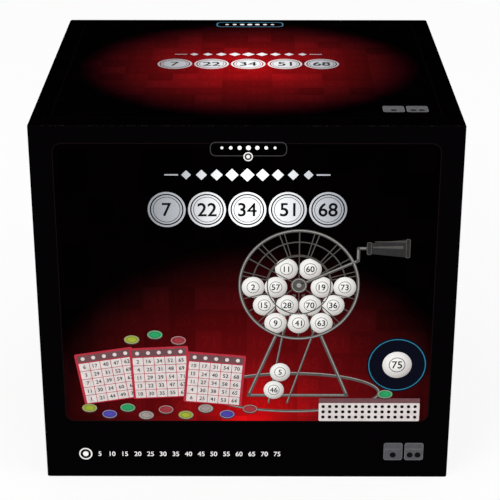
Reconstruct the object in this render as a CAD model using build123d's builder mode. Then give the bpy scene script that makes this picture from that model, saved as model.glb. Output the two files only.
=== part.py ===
from build123d import *
from math import asin, cos, degrees, radians, sin, sqrt
import os

# A boxed bingo game. The rigid box stands closed: a full-depth lid slides down over a low tray.
# In the tray stand a wire cage on its stand, with crank and balls, and a pocket of cards and chips.
# Millimetres, +Z up. The origin is on the shelf under the middle of the box, and the front faces -Y.

os.makedirs("parts", exist_ok=True)

# Box, whose outside follows from what it holds
LID_BOARD = 1.8
LID_CORNER = 2.0
LID_TOP_EDGE = 1.2
LID_RIM_GAP = 0.3
TELESCOPE_GAP = 0.5
TRAY_BOARD = 1.8
TRAY_HEIGHT = 70.0
TRAY_CORNER = 1.2
PAD_THICKNESS = 3.0
PAD_GAP = 0.3
PACKING_GAP = 1.5
CRANK_ROOM = 1.22
POCKET_ROOM = 17.7
HEAD_ROOM = 1.9
SEAT_GAP = 0.3
WELD_GAP = 0.05
OVERRUN = 5.0

# Wire stand
STAND_WIDTH = 108.0
STAND_DEPTH = 105.0
HUB_HEIGHT = 147.0
STAND_WIRE = 4.0
LEG_CORNER_BEND = 12.0
LEG_TOP_BEND = 10.0
LEG_TOP_RISE = 5.0
LEG_TOP_DROP = 22.0
LEG_TOP_SPREAD = 7.0
SIDE_BAR_INSET = 18.0
FOOT_BEND = 16.0
# Each point: sideways as a share of the stand's width, and rearwards as a share of its depth
FOOT_ROUTE_SHARES = [
    (0.03, -0.09), (-0.05, -0.33), (-0.36, -0.13), (-0.35, 0.54), (-0.28, 1.10), (-0.14, 1.27),
    (1.20, 1.23), (1.46, 0.90), (1.66, 0.08), (1.52, -0.43), (1.14, -0.40), (0.97, -0.09),
]

# Bearing plates
BEARING_PLATE = 2.0
BEARING_RADIUS = 8.0
BEARING_TAIL = 18.0
BEARING_TAIL_RADIUS = 6.0
BEARING_GAP = 0.5

# Drum
RING_RADIUS = 71.5
RING_COUNT = 6
DRUM_LENGTH = 90.0
CAGE_WIRE = 2.4
RIB_COUNT = 6
RIB_SHOULDER = 7.0
RIB_START_ANGLE = 30.0
RIB_BEND = 8.0
RIB_END_BEND = 5.0
RIB_END_RADIUS = 5.5
RIB_GATHER_RADIUS = 16.0
END_RING_SHARES = [0.22, 0.48, 0.76]

# Hubs and crank
HUB_REACH = 70.0
HUB_PLATE_RADIUS = 13.5
HUB_PLATE = 1.5
HUB_BOSS_RADIUS = 5.0
HUB_BOSS = 4.0
AXLE = 4.0
AXLE_FIT = 0.1
RUNNING_FIT = 0.2
PIN_TAIL = 3.0
PIN_HEAD_RADIUS = 4.5
PIN_HEAD = 4.0
PIN_HEAD_EDGE = 1.2
CRANK_GAP = 6.7
CRANK_THROW = 53.0
CRANK_BEND = 6.0
CRANK_ANGLE = 235.0
GRIP_LENGTH = 60.0
GRIP_NECK_RADIUS = 5.2
GRIP_WIDE_RADIUS = 8.6
GRIP_END_RADIUS = 7.2
GRIP_GROOVE = 0.7
GRIP_WIDE_SHARE = 0.9
GRIP_GROOVE_SHARES = [0.66, 0.74, 0.82]
FERRULE_LENGTH = 5.0
FERRULE_WALL = 0.8
FERRULE_START_GAP = 0.5
CAP_GAP = 0.4
CAP_THICKNESS = 2.0
CAP_RADIUS = 4.0

# Ball cup
CUP_ANGLE = 180.0
CUP_WIDTH = 32.0
CUP_SHEET = 1.0
CUP_INNER_RADIUS = 12.0
CUP_DEPTH = 7.0
CUP_LIP_ANGLE = 25.0
CUP_OPEN_ANGLE = 17.0

# Balls and track
BALL = 22.0
BALL_GAP = 0.3
DRUM_BALL_COUNT = 72
PILE_LAYER_COUNT = 5
PILE_HALF_LENGTH = 36.0
TRACK_WIRE = 2.4
TRACK_SPACING = 10.0
TRACK_REAR_HEIGHT = 38.0
TRACK_REAR_INSET = 14.0
TRACK_BEND = 7.0
TRACK_FRONT = 30.0
GUIDE_SPACING = 27.6
GUIDE_RISE = 8.0
GUIDE_SPLAY = 10.0
GUIDE_END = 20.0
STOP_RING_RADIUS = 8.4

# Cards, board and chips
DIVIDER_BOARD = 3.0
DIVIDER_HEIGHT = 62.0
PARTITION_BOARD = 1.5
CARD_COUNT = 18
CARD_WIDTH = 110.0
CARD_HEIGHT = 120.0
CARD_THICKNESS = 1.1
CARD_CORNER = 3.0
CARD_GAP = 0.05
CALL_BOARD_WIDTH = 200.0
CALL_BOARD_HEIGHT = 150.0
CALL_BOARD_THICKNESS = 6.0
CALL_BOARD_CORNER = 4.0
CALL_BOARD_COLUMN_COUNT = 10
CALL_BOARD_HOLE_COUNT = 75
CALL_BOARD_HOLE = 9.0
CALL_BOARD_HOLE_DEPTH = 3.0
CALL_BOARD_PITCH_X = 19.0
CALL_BOARD_PITCH_Z = 15.4
CALL_BOARD_HEADER = 20.0
CHIP_DIAMETER = 19.0
CHIP_THICKNESS = 1.8
CHIP_RECESS = 0.4
CHIP_RIM = 1.8
CHIP_COUNT = 30
CHIP_COLOURS = ["blue", "green", "lime", "clear", "red"]
CHIP_GAP = 0.05
CHIP_WELL_GAP = 0.5
CHIP_TRAY_WALL = 1.6
CHIP_TRAY_FLOOR = 2.0
CHIP_TRAY_SLOT = 8.0

# Reach of the cage on each side of its middle, and of its route over the pad
FOOT_LEFT_SHARE = min(side for side, back in FOOT_ROUTE_SHARES)
FOOT_FRONT_SHARE = min(back for side, back in FOOT_ROUTE_SHARES)
FOOT_REAR_SHARE = max(back for side, back in FOOT_ROUTE_SHARES)
BEARING_X = HUB_REACH + CAGE_WIRE / 2 + WELD_GAP + HUB_PLATE + HUB_BOSS + BEARING_GAP
LEG_X = BEARING_X + BEARING_PLATE + WELD_GAP + STAND_WIRE / 2
PIN_REACH = LEG_X + STAND_WIRE / 2 + BEARING_GAP + max(PIN_HEAD, PIN_TAIL)
LEFT_REACH = max(STAND_WIDTH / 2 - FOOT_LEFT_SHARE * STAND_WIDTH + STAND_WIRE / 2, PIN_REACH)
CRANK_REACH = LEG_X + STAND_WIRE / 2 + CRANK_GAP + AXLE / 2
GRIP_START = CRANK_REACH + CRANK_BEND + FERRULE_START_GAP
RIGHT_REACH = GRIP_START + GRIP_LENGTH + CAP_GAP + CAP_THICKNESS
RIB_RADIUS = RING_RADIUS + CAGE_WIRE + WELD_GAP
CUP_REACH = RING_RADIUS + CUP_DEPTH + CUP_INNER_RADIUS + CUP_SHEET
FRONT_REACH = max(STAND_DEPTH / 2 - FOOT_FRONT_SHARE * STAND_DEPTH + STAND_WIRE / 2, CUP_REACH)
FOOT_REAR_REACH = FOOT_REAR_SHARE * STAND_DEPTH - STAND_DEPTH / 2 + STAND_WIRE / 2
# The turning cup passes in front of the cards, whose tops stand lower than the axle
CARD_DROP = min(max(SEAT_GAP + HUB_HEIGHT - CARD_HEIGHT, 0), CUP_REACH)
REAR_ROOM = max(FOOT_REAR_REACH + PACKING_GAP + DIVIDER_BOARD, sqrt(CUP_REACH**2 - CARD_DROP**2))

# Room that the cards, the chips and the calling board take in the pocket
CHIP_PITCH = CHIP_DIAMETER + 2 * CHIP_WELL_GAP + CHIP_TRAY_WALL
CHIP_TRAY_LENGTH = len(CHIP_COLOURS) * CHIP_PITCH + CHIP_TRAY_WALL
CHIP_TRAY_DEPTH = CHIP_DIAMETER + 2 * CHIP_WELL_GAP + 2 * CHIP_TRAY_WALL
CHIP_STEP = CHIP_THICKNESS + CHIP_GAP
CHIP_STACK = CHIP_COUNT * CHIP_STEP
CARD_STEP = CARD_THICKNESS + CARD_GAP
PILE_DEPTH = max(CHIP_TRAY_DEPTH, CARD_COUNT * CARD_STEP)
POCKET_DEPTH = PILE_DEPTH + POCKET_ROOM + CALL_BOARD_THICKNESS + 2 * SEAT_GAP
PILE_WIDTH = CHIP_TRAY_LENGTH + PARTITION_BOARD + CARD_WIDTH + 4 * SEAT_GAP
POCKET_WIDTH = max(PILE_WIDTH, CALL_BOARD_WIDTH) + 2 * (DIVIDER_BOARD + PAD_GAP)

# Sizes of the box, from the inside out
INNER_WIDTH = max(LEFT_REACH + RIGHT_REACH + PACKING_GAP + CRANK_ROOM, POCKET_WIDTH)
INNER_DEPTH = PACKING_GAP + FRONT_REACH + REAR_ROOM + POCKET_DEPTH
TRAY_WIDTH = INNER_WIDTH + 2 * TRAY_BOARD
TRAY_DEPTH = INNER_DEPTH + 2 * TRAY_BOARD
BOX_WIDTH = TRAY_WIDTH + 2 * (LID_BOARD + TELESCOPE_GAP)
BOX_DEPTH = TRAY_DEPTH + 2 * (LID_BOARD + TELESCOPE_GAP)
PAD_TOP = TRAY_BOARD + PAD_THICKNESS

# Places of the stand and the drum
CAGE_X = PACKING_GAP - INNER_WIDTH / 2 + LEFT_REACH
CAGE_Y = PACKING_GAP - INNER_DEPTH / 2 + FRONT_REACH
STAND_LEFT = CAGE_X - STAND_WIDTH / 2
STAND_FRONT = CAGE_Y - STAND_DEPTH / 2
STAND_REAR = STAND_FRONT + STAND_DEPTH
STAND_FLOOR = PAD_TOP + SEAT_GAP
HUB_Z = STAND_FLOOR + HUB_HEIGHT
BOX_HEIGHT = HUB_Z + CUP_REACH + HEAD_ROOM + LID_BOARD
BASE_Z = STAND_FLOOR + STAND_WIRE / 2
CAGE_CENTRE = Vector(CAGE_X, CAGE_Y, HUB_Z)
CAGE_AXIS = Axis(CAGE_CENTRE, (1, 0, 0))
POCKET_FRONT = INNER_DEPTH / 2 - POCKET_DEPTH
RING_PITCH = DRUM_LENGTH / (RING_COUNT - 1)
RING_PLACES = [number * RING_PITCH - DRUM_LENGTH / 2 for number in range(RING_COUNT)]


def save(builder, label):
    """Labels a finished piece and writes its STEP file."""
    builder.part.label = label
    export_step(builder.part, f"parts/{label}.step")


def bent_wire(label, points, bend, diameter):
    """Makes one round wire of straight runs and tangent bends through the points."""
    with BuildPart() as wire:
        with BuildLine() as route:
            FilletPolyline(*points, radius=bend)
        path = route.wires()[0]
        with BuildSketch(Plane(origin=path @ 0, z_dir=path % 0)):
            Circle(diameter / 2)
        sweep(path=path)
    save(wire, label)


def around(angle):
    """Gives the unit vector at an angle round the drum's axis, from +Y towards +Z."""
    return Vector(0, cos(radians(angle)), sin(radians(angle)))


def radial_plane(angle):
    """Gives the plane through the drum's axis, with local x along it and local y outwards."""
    out = around(angle)
    return Plane(origin=CAGE_CENTRE, x_dir=(1, 0, 0), z_dir=(0, -out.Z, out.Y))


def make_tray():
    """The low tray that the box stands on."""
    with BuildPart() as tray:
        with BuildSketch():
            RectangleRounded(TRAY_WIDTH, TRAY_DEPTH, TRAY_CORNER)
        extrude(amount=TRAY_HEIGHT)
        with BuildSketch(Plane.XY.offset(TRAY_BOARD)):
            Rectangle(INNER_WIDTH, INNER_DEPTH)
        extrude(amount=TRAY_HEIGHT, mode=Mode.SUBTRACT)
    save(tray, "tray_base")


def make_lid():
    """The full-depth lid, whose rim nearly reaches the shelf."""
    with BuildPart() as lid:
        with BuildSketch(Plane.XY.offset(LID_RIM_GAP)):
            RectangleRounded(BOX_WIDTH, BOX_DEPTH, LID_CORNER)
        extrude(amount=BOX_HEIGHT - LID_RIM_GAP)
        fillet(lid.faces().sort_by(Axis.Z)[-1].edges(), LID_TOP_EDGE)
        with BuildSketch(Plane.XY.offset(LID_RIM_GAP)):
            Rectangle(BOX_WIDTH - 2 * LID_BOARD, BOX_DEPTH - 2 * LID_BOARD)
        extrude(amount=BOX_HEIGHT - LID_RIM_GAP - LID_BOARD, mode=Mode.SUBTRACT)
    save(lid, "lid_shell")


def make_floor_pad():
    """The board pad on the tray's floor."""
    with BuildPart() as pad:
        with BuildSketch(Plane.XY.offset(TRAY_BOARD)):
            Rectangle(INNER_WIDTH - 2 * PAD_GAP, INNER_DEPTH - 2 * PAD_GAP)
        extrude(amount=PAD_THICKNESS)
    save(pad, "floor_pad")


def make_pocket_divider():
    """The folded board that fences off the pocket at the rear, with a wing along each side wall."""
    width = INNER_WIDTH - 2 * PAD_GAP
    rear = INNER_DEPTH / 2 - PAD_GAP
    front = POCKET_FRONT - DIVIDER_BOARD
    with BuildPart() as divider:
        with BuildSketch(Plane.XY.offset(PAD_TOP)):
            with Locations((0, (front + rear) / 2)):
                Rectangle(width, rear - front)
            with Locations((0, (POCKET_FRONT + rear + OVERRUN) / 2)):
                Rectangle(width - 2 * DIVIDER_BOARD, rear + OVERRUN - POCKET_FRONT, mode=Mode.SUBTRACT)
        extrude(amount=DIVIDER_HEIGHT)
    save(divider, "pocket_divider")


def make_leg_frames():
    """Two bent wires, front and rear, that rise from a base bar to both bearing plates."""
    half = STAND_WIDTH / 2
    top = HUB_Z + LEG_TOP_RISE
    knee = HUB_Z - LEG_TOP_DROP
    near = (AXLE + STAND_WIRE) / 2 + BEARING_GAP
    for label, way in [("front_leg_frame", -1), ("rear_leg_frame", 1)]:
        foot_y = CAGE_Y + way * STAND_DEPTH / 2
        side = [(LEG_X, way * near, top), (LEG_X, way * (near + LEG_TOP_SPREAD), knee)]
        left = [(CAGE_X - x, CAGE_Y + y, z) for x, y, z in side]
        right = [(CAGE_X + x, CAGE_Y + y, z) for x, y, z in reversed(side)]
        base = [(CAGE_X - half, foot_y, BASE_Z), (CAGE_X + half, foot_y, BASE_Z)]
        bends = [LEG_TOP_BEND, LEG_CORNER_BEND, LEG_CORNER_BEND, LEG_TOP_BEND]
        bent_wire(label, left + base + right, bends, STAND_WIRE)


def make_side_bars():
    """Two straight wires between the base bars of the leg frames."""
    length = STAND_DEPTH - STAND_WIRE - 2 * WELD_GAP
    for label, way in [("side_bar_left", -1), ("side_bar_right", 1)]:
        x = CAGE_X + way * (STAND_WIDTH / 2 - SIDE_BAR_INSET)
        with BuildPart() as bar:
            with BuildSketch(Plane.XZ.offset(-(CAGE_Y - length / 2))):
                with Locations((x, BASE_Z)):
                    Circle(STAND_WIRE / 2)
            extrude(amount=-length)
        save(bar, label)


def make_foot_wire():
    """The wide loop of wire that lies on the pad and steadies the stand."""
    points = []
    for side, back in FOOT_ROUTE_SHARES:
        points.append((STAND_LEFT + side * STAND_WIDTH, STAND_FRONT + back * STAND_DEPTH, BASE_Z))
    tip = STAND_FRONT - STAND_WIRE / 2 - WELD_GAP
    first, last = points[0], points[-1]
    points[0] = (first[0], tip, BASE_Z)
    points[-1] = (last[0], tip, BASE_Z)
    bent_wire("foot_wire", points, FOOT_BEND, STAND_WIRE)


def make_bearing_plates():
    """The plates at the top of the legs, each with the bore that carries the drum's axle."""
    for label, way in [("bearing_plate_left", -1), ("bearing_plate_right", 1)]:
        face = Plane(origin=(CAGE_X + way * BEARING_X, CAGE_Y, HUB_Z), x_dir=(0, way, 0), z_dir=(way, 0, 0))
        with BuildPart() as plate:
            with BuildSketch(face):
                Circle(BEARING_RADIUS)
                with Locations((-BEARING_TAIL_RADIUS, -BEARING_TAIL), (BEARING_TAIL_RADIUS, -BEARING_TAIL)):
                    Circle(BEARING_TAIL_RADIUS)
                make_hull()
                Circle((AXLE + RUNNING_FIT) / 2, mode=Mode.SUBTRACT)
            extrude(amount=BEARING_PLATE)
        save(plate, label)


def make_main_rings():
    """The rings along the drum. Those in the cup's way stop at its back wall and at its open side."""
    lean = (CUP_INNER_RADIUS + CUP_SHEET) / RING_RADIUS * CAGE_WIRE / 2
    wall_angle = degrees(asin((CUP_INNER_RADIUS + CUP_SHEET + WELD_GAP + lean) / RING_RADIUS))
    for number, x in enumerate(RING_PLACES, start=1):
        crossed = abs(x) < CUP_WIDTH / 2
        start = CUP_ANGLE + wall_angle if crossed else CUP_ANGLE
        arc = 360 - wall_angle - CUP_OPEN_ANGLE if crossed else 360
        with BuildPart() as ring:
            with BuildSketch(radial_plane(start)):
                with Locations((x, RING_RADIUS)):
                    Circle(CAGE_WIRE / 2)
            revolve(axis=CAGE_AXIS, revolution_arc=arc)
        save(ring, f"main_ring_{number}")


def make_end_rings():
    """Three smaller rings inside the ribs, on the cone at each end of the drum."""
    corner = Vector(DRUM_LENGTH / 2 + RIB_SHOULDER, RIB_RADIUS)
    slope = Vector(HUB_REACH, RIB_GATHER_RADIUS) - corner
    inwards = Vector(slope.Y, -slope.X).normalized() * (CAGE_WIRE + WELD_GAP)
    for side, way in [("left", -1), ("right", 1)]:
        for number, share in enumerate(END_RING_SHARES, start=1):
            place = corner + slope * share + inwards
            with BuildPart() as ring:
                with BuildSketch(radial_plane(0)):
                    with Locations((way * place.X, place.Y)):
                        Circle(CAGE_WIRE / 2)
                revolve(axis=CAGE_AXIS)
            save(ring, f"end_ring_{side}_{number}")


def make_ribs():
    """The long wires outside the rings, gathered between the plates of both hubs."""
    half = DRUM_LENGTH / 2 + RIB_SHOULDER
    corners = [(HUB_REACH, RIB_END_RADIUS), (HUB_REACH, RIB_GATHER_RADIUS), (half, RIB_RADIUS)]
    outline = [(-x, r) for x, r in corners] + list(reversed(corners))
    for number in range(RIB_COUNT):
        out = around(RIB_START_ANGLE + number * 360 / RIB_COUNT)
        points = [CAGE_CENTRE + Vector(x, 0, 0) + out * r for x, r in outline]
        bends = [RIB_END_BEND, RIB_BEND, RIB_BEND, RIB_END_BEND]
        bent_wire(f"rib_wire_{number + 1}", points, bends, CAGE_WIRE)


def make_hubs():
    """A pair of washers on a bored core at each end, with a boss towards the bearing."""
    gather = CAGE_WIRE / 2 + WELD_GAP
    for label, way in [("hub_left", -1), ("hub_right", 1)]:
        middle = CAGE_CENTRE + Vector(way * HUB_REACH, 0, 0)
        inner = Plane(origin=middle, x_dir=(0, 1, 0), z_dir=(way, 0, 0)).offset(-gather - HUB_PLATE)
        with BuildPart() as hub:
            with BuildSketch(inner, inner.offset(HUB_PLATE + 2 * gather)):
                Circle(HUB_PLATE_RADIUS)
            extrude(amount=HUB_PLATE)
            with BuildSketch(inner):
                Circle(RIB_END_RADIUS - WELD_GAP)
            extrude(amount=2 * (gather + HUB_PLATE))
            with BuildSketch(inner.offset(2 * (gather + HUB_PLATE))):
                Circle(HUB_BOSS_RADIUS)
            extrude(amount=HUB_BOSS)
            with BuildSketch(inner):
                Circle((AXLE + AXLE_FIT) / 2)
            extrude(amount=2 * (gather + HUB_PLATE) + HUB_BOSS, mode=Mode.SUBTRACT)
        save(hub, label)


def make_axle_pin():
    """The pin with a round head that carries the drum's left end."""
    start = CAGE_CENTRE - Vector(HUB_REACH - CAGE_WIRE, 0, 0)
    head = LEG_X + STAND_WIRE / 2 + BEARING_GAP
    facing = Plane(origin=start, x_dir=(0, 1, 0), z_dir=(-1, 0, 0))
    with BuildPart() as pin:
        with BuildSketch(facing):
            Circle(AXLE / 2)
        extrude(amount=head - HUB_REACH + CAGE_WIRE + PIN_TAIL)
        with BuildSketch(facing.offset(head - HUB_REACH + CAGE_WIRE)):
            Circle(PIN_HEAD_RADIUS)
        extrude(amount=PIN_HEAD)
        fillet(pin.faces().sort_by(Axis.X)[0].edges(), PIN_HEAD_EDGE)
    save(pin, "axle_pin")


def make_ball_cup():
    """The sheet scoop that takes one ball from the drum and lets it out at its open side."""
    facing = Plane(origin=CAGE_CENTRE, x_dir=around(CUP_ANGLE), z_dir=(1, 0, 0))
    inner, outer = CUP_INNER_RADIUS, CUP_INNER_RADIUS + CUP_SHEET
    root = sqrt(RING_RADIUS**2 - inner**2)
    deep = RING_RADIUS + CUP_DEPTH
    lip = radians(CUP_LIP_ANGLE)
    with BuildPart() as cup:
        with BuildSketch(facing.offset(-CUP_WIDTH / 2)):
            with BuildLine():
                Polyline((root, inner), (deep, inner))
                CenterArc((deep, 0), inner, 90, -90 - CUP_LIP_ANGLE)
                Line(
                    (deep + inner * cos(lip), -inner * sin(lip)),
                    (deep + outer * cos(lip), -outer * sin(lip)),
                )
                CenterArc((deep, 0), outer, -CUP_LIP_ANGLE, 90 + CUP_LIP_ANGLE)
                Polyline((deep, outer), (root, outer), (root, inner))
            make_face()
        extrude(amount=CUP_WIDTH)
        with BuildSketch(facing.offset(-CUP_WIDTH / 2), facing.offset(CUP_WIDTH / 2 - CUP_SHEET)):
            with BuildLine():
                Polyline((root, -outer), (root, outer), (deep, outer))
                CenterArc((deep, 0), outer, 90, -90 - CUP_LIP_ANGLE)
                Line((deep + outer * cos(lip), -outer * sin(lip)), (root, -outer))
            make_face()
        extrude(amount=CUP_SHEET)
    save(cup, "ball_cup")


def make_crank():
    """The bent rod that turns the drum, with the riveted cap that keeps the grip on it."""
    out = around(CRANK_ANGLE) * CRANK_THROW
    inner_end = CAGE_CENTRE + Vector(HUB_REACH - CAGE_WIRE, 0, 0)
    elbow = CAGE_CENTRE + Vector(CRANK_REACH, 0, 0)
    tip = CAGE_CENTRE + out + Vector(GRIP_START + GRIP_LENGTH + CAP_GAP, 0, 0)
    bent_wire("crank_rod", [inner_end, elbow, elbow + out, tip], CRANK_BEND, AXLE)
    with BuildPart() as cap:
        with BuildSketch(Plane(origin=tip, x_dir=(0, 1, 0), z_dir=(1, 0, 0))):
            Circle(CAP_RADIUS)
        extrude(amount=CAP_THICKNESS)
        fillet(cap.faces().sort_by(Axis.X)[-1].edges(), CAP_THICKNESS / 2)
    save(cap, "grip_cap")


def make_grip():
    """The tapered grip that spins on the crank, and the metal ferrule at its narrow end."""
    start = CAGE_CENTRE + Vector(GRIP_START, 0, 0) + around(CRANK_ANGLE) * CRANK_THROW
    facing = Plane(origin=start, x_dir=around(CRANK_ANGLE), z_dir=(1, 0, 0))
    side = Plane(origin=facing.origin, x_dir=(1, 0, 0), z_dir=facing.x_dir)
    spin = Axis(facing.origin, (1, 0, 0))
    wide = GRIP_WIDE_SHARE * GRIP_LENGTH
    bore = (AXLE + RUNNING_FIT) / 2
    with BuildPart() as grip:
        with BuildSketch(side):
            with BuildLine():
                Line((0, bore), (0, GRIP_NECK_RADIUS))
                Line((0, GRIP_NECK_RADIUS), (FERRULE_LENGTH, GRIP_NECK_RADIUS))
                Spline(
                    (FERRULE_LENGTH, GRIP_NECK_RADIUS),
                    (wide, GRIP_WIDE_RADIUS),
                    (GRIP_LENGTH, GRIP_END_RADIUS),
                    tangents=[(1, 0.08), (1, -1)],
                )
                Line((GRIP_LENGTH, GRIP_END_RADIUS), (GRIP_LENGTH, bore))
                Line((GRIP_LENGTH, bore), (0, bore))
            make_face()
        revolve(axis=spin)
        for share in GRIP_GROOVE_SHARES:
            here = facing.offset(share * GRIP_LENGTH)
            with BuildSketch(here):
                Circle(GRIP_WIDE_RADIUS + OVERRUN)
                Circle(GRIP_WIDE_RADIUS - 2 * GRIP_GROOVE, mode=Mode.SUBTRACT)
            extrude(amount=GRIP_GROOVE, mode=Mode.SUBTRACT)
    save(grip, "crank_grip")
    with BuildPart() as ferrule:
        with BuildSketch(facing):
            Circle(GRIP_NECK_RADIUS + WELD_GAP + FERRULE_WALL)
            Circle(GRIP_NECK_RADIUS + WELD_GAP, mode=Mode.SUBTRACT)
        extrude(amount=FERRULE_LENGTH - 2 * WELD_GAP)
    save(ferrule, "grip_ferrule")


TRACK_Z = BASE_Z + STAND_WIRE / 2 + WELD_GAP + TRACK_WIRE / 2
TRACK_TOP_Y = STAND_REAR - TRACK_REAR_INSET
TRACK_TOP_Z = STAND_FLOOR + TRACK_REAR_HEIGHT
STOP_RING_Y = STAND_FRONT - TRACK_FRONT + STOP_RING_RADIUS


def make_track():
    """Two floor wires and two guides, from the rear bar down to a ring in front of the stand."""
    foot_z = TRACK_Z - TRACK_WIRE / 2
    for label, way in [("track_wire_left", -1), ("track_wire_right", 1)]:
        x = CAGE_X + way * TRACK_SPACING / 2
        points = [
            (x, STAND_REAR, foot_z),
            (x, STAND_REAR, foot_z + TRACK_REAR_INSET),
            (x, TRACK_TOP_Y, TRACK_TOP_Z),
            (x, STAND_FRONT, TRACK_Z),
            (x, STAND_FRONT - TRACK_FRONT, TRACK_Z),
        ]
        bent_wire(label, points, TRACK_BEND, TRACK_WIRE)
    for label, way in [("track_guide_left", -1), ("track_guide_right", 1)]:
        x = CAGE_X + way * GUIDE_SPACING / 2
        splayed = x + way * GUIDE_SPLAY
        points = [
            (splayed, STAND_REAR, foot_z),
            (splayed, STAND_REAR, foot_z + TRACK_REAR_INSET),
            (x, TRACK_TOP_Y, TRACK_TOP_Z + GUIDE_RISE),
            (x, STAND_FRONT, TRACK_Z + GUIDE_RISE),
            (x, STAND_FRONT - GUIDE_END, TRACK_Z + GUIDE_RISE),
            (x, STAND_FRONT - GUIDE_END, STAND_FLOOR),
        ]
        bent_wire(label, points, TRACK_BEND / 2, TRACK_WIRE)
    with BuildPart() as stop:
        with BuildSketch(Plane.XZ.offset(-STOP_RING_Y)):
            with Locations((CAGE_X + STOP_RING_RADIUS, TRACK_Z + TRACK_WIRE + WELD_GAP)):
                Circle(TRACK_WIRE / 2)
        revolve(axis=Axis((CAGE_X, STOP_RING_Y, 0), (0, 0, 1)))
    save(stop, "track_stop")


def ball_reach(x):
    """Gives how far from the axis a ball's centre can lie at x, as balls sink between two rings."""
    contact = (BALL + CAGE_WIRE) / 2 + BALL_GAP
    off = min(abs(x - place) for place in RING_PLACES)
    return RING_RADIUS - sqrt(contact**2 - off**2)


def drum_ball_places():
    """Gives the centres of the balls: close-packed layers that fill the drum from below."""
    pitch = BALL + BALL_GAP
    reach = ball_reach(pitch)
    row_step = pitch * sqrt(3) / 2
    rows = int(reach / row_step) + 1
    columns = int(PILE_HALF_LENGTH / pitch) + 1
    places = []
    for layer in range(PILE_LAYER_COUNT):
        odd = layer % 2
        z = layer * pitch * sqrt(2 / 3) - reach
        for row in range(-rows, rows + 1):
            y = row * row_step + odd * row_step / 3
            for column in range(-columns - 1, columns + 1):
                x = (column + (odd + row % 2) / 2) * pitch
                inside = abs(x) <= PILE_HALF_LENGTH
                if inside and sqrt(y * y + z * z) <= ball_reach(x) + WELD_GAP:
                    places.append(Vector(x, y, z))
    places.sort(key=lambda place: (round(place.Z), abs(place.Y), abs(place.X)))
    return [CAGE_CENTRE + place for place in places[:DRUM_BALL_COUNT]]


def track_ball_places():
    """Gives the centres of one ball in the ring and two that lean on it along the track."""
    reach = (BALL + TRACK_WIRE) / 2
    drop = STOP_RING_RADIUS
    ring_z = TRACK_Z + TRACK_WIRE + WELD_GAP
    rest = Vector(CAGE_X, STOP_RING_Y, ring_z + sqrt(reach**2 - drop**2) + BALL_GAP)
    half = TRACK_SPACING / 2
    height = sqrt(reach**2 - half**2) + BALL_GAP
    run = Vector(0, TRACK_TOP_Y - STAND_FRONT, TRACK_TOP_Z - TRACK_Z).normalized()
    up = Vector(0, -run.Z, run.Y)
    foot = Vector(CAGE_X, STAND_FRONT, TRACK_Z) + up * height
    offset = foot - rest
    along = offset.dot(run)
    pitch = BALL + BALL_GAP
    step = sqrt(along**2 - offset.dot(offset) + pitch**2) - along
    return [rest, foot + run * step, foot + run * (step + pitch)]


def make_balls():
    """The numbered balls: most in the drum, three called ones on the track."""
    for label, places in [("number_balls", drum_ball_places()), ("called_balls", track_ball_places())]:
        with BuildPart() as balls:
            with Locations(*places):
                Sphere(BALL / 2)
        save(balls, label)
        print(label, len(places))


# Places inside the pocket
POCKET_LEFT = PAD_GAP + DIVIDER_BOARD - INNER_WIDTH / 2
CALL_BOARD_Y = INNER_DEPTH / 2 - SEAT_GAP - CALL_BOARD_THICKNESS
CHIP_TRAY_X = POCKET_LEFT + SEAT_GAP + CHIP_TRAY_LENGTH / 2
CHIP_TRAY_Y = POCKET_FRONT + SEAT_GAP + CHIP_TRAY_DEPTH / 2
PARTITION_X = POCKET_LEFT + CHIP_TRAY_LENGTH + 2 * SEAT_GAP
CARDS_X = PARTITION_X + PARTITION_BOARD + SEAT_GAP + CARD_WIDTH / 2


def make_partition():
    """The small board between the chips and the cards."""
    depth = CALL_BOARD_Y - SEAT_GAP - POCKET_FRONT - SEAT_GAP
    with BuildPart() as partition:
        with BuildSketch(Plane.XY.offset(PAD_TOP)):
            with Locations((PARTITION_X + PARTITION_BOARD / 2, POCKET_FRONT + SEAT_GAP + depth / 2)):
                Rectangle(PARTITION_BOARD, depth)
        extrude(amount=DIVIDER_HEIGHT)
    save(partition, "pocket_partition")


def make_cards():
    """The stack of playing cards, each its own board."""
    with BuildPart() as cards:
        for number in range(CARD_COUNT):
            y = POCKET_FRONT + SEAT_GAP + number * CARD_STEP
            with BuildSketch(Plane.XZ.offset(-y)):
                with Locations((CARDS_X, PAD_TOP + CARD_HEIGHT / 2)):
                    RectangleRounded(CARD_WIDTH, CARD_HEIGHT, CARD_CORNER)
            extrude(amount=-CARD_THICKNESS)
    save(cards, "bingo_cards")


def make_calling_board():
    """The board with a blind hole for each number and a plain strip above them."""
    top = PAD_TOP + CALL_BOARD_HEIGHT - CALL_BOARD_HEADER - CALL_BOARD_PITCH_Z / 2
    places = []
    for number in range(CALL_BOARD_HOLE_COUNT):
        row, column = divmod(number, CALL_BOARD_COLUMN_COUNT)
        x = (column - (CALL_BOARD_COLUMN_COUNT - 1) / 2) * CALL_BOARD_PITCH_X
        places.append((x, top - row * CALL_BOARD_PITCH_Z))
    with BuildPart() as board:
        with BuildSketch(Plane.XZ.offset(-CALL_BOARD_Y)):
            with Locations((0, PAD_TOP + CALL_BOARD_HEIGHT / 2)):
                RectangleRounded(CALL_BOARD_WIDTH, CALL_BOARD_HEIGHT, CALL_BOARD_CORNER)
        extrude(amount=-CALL_BOARD_THICKNESS)
        with BuildSketch(Plane.XZ.offset(-CALL_BOARD_Y)):
            with Locations(*places):
                Circle(CALL_BOARD_HOLE / 2)
        extrude(amount=-CALL_BOARD_HOLE_DEPTH, mode=Mode.SUBTRACT)
    save(board, "calling_board")


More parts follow.
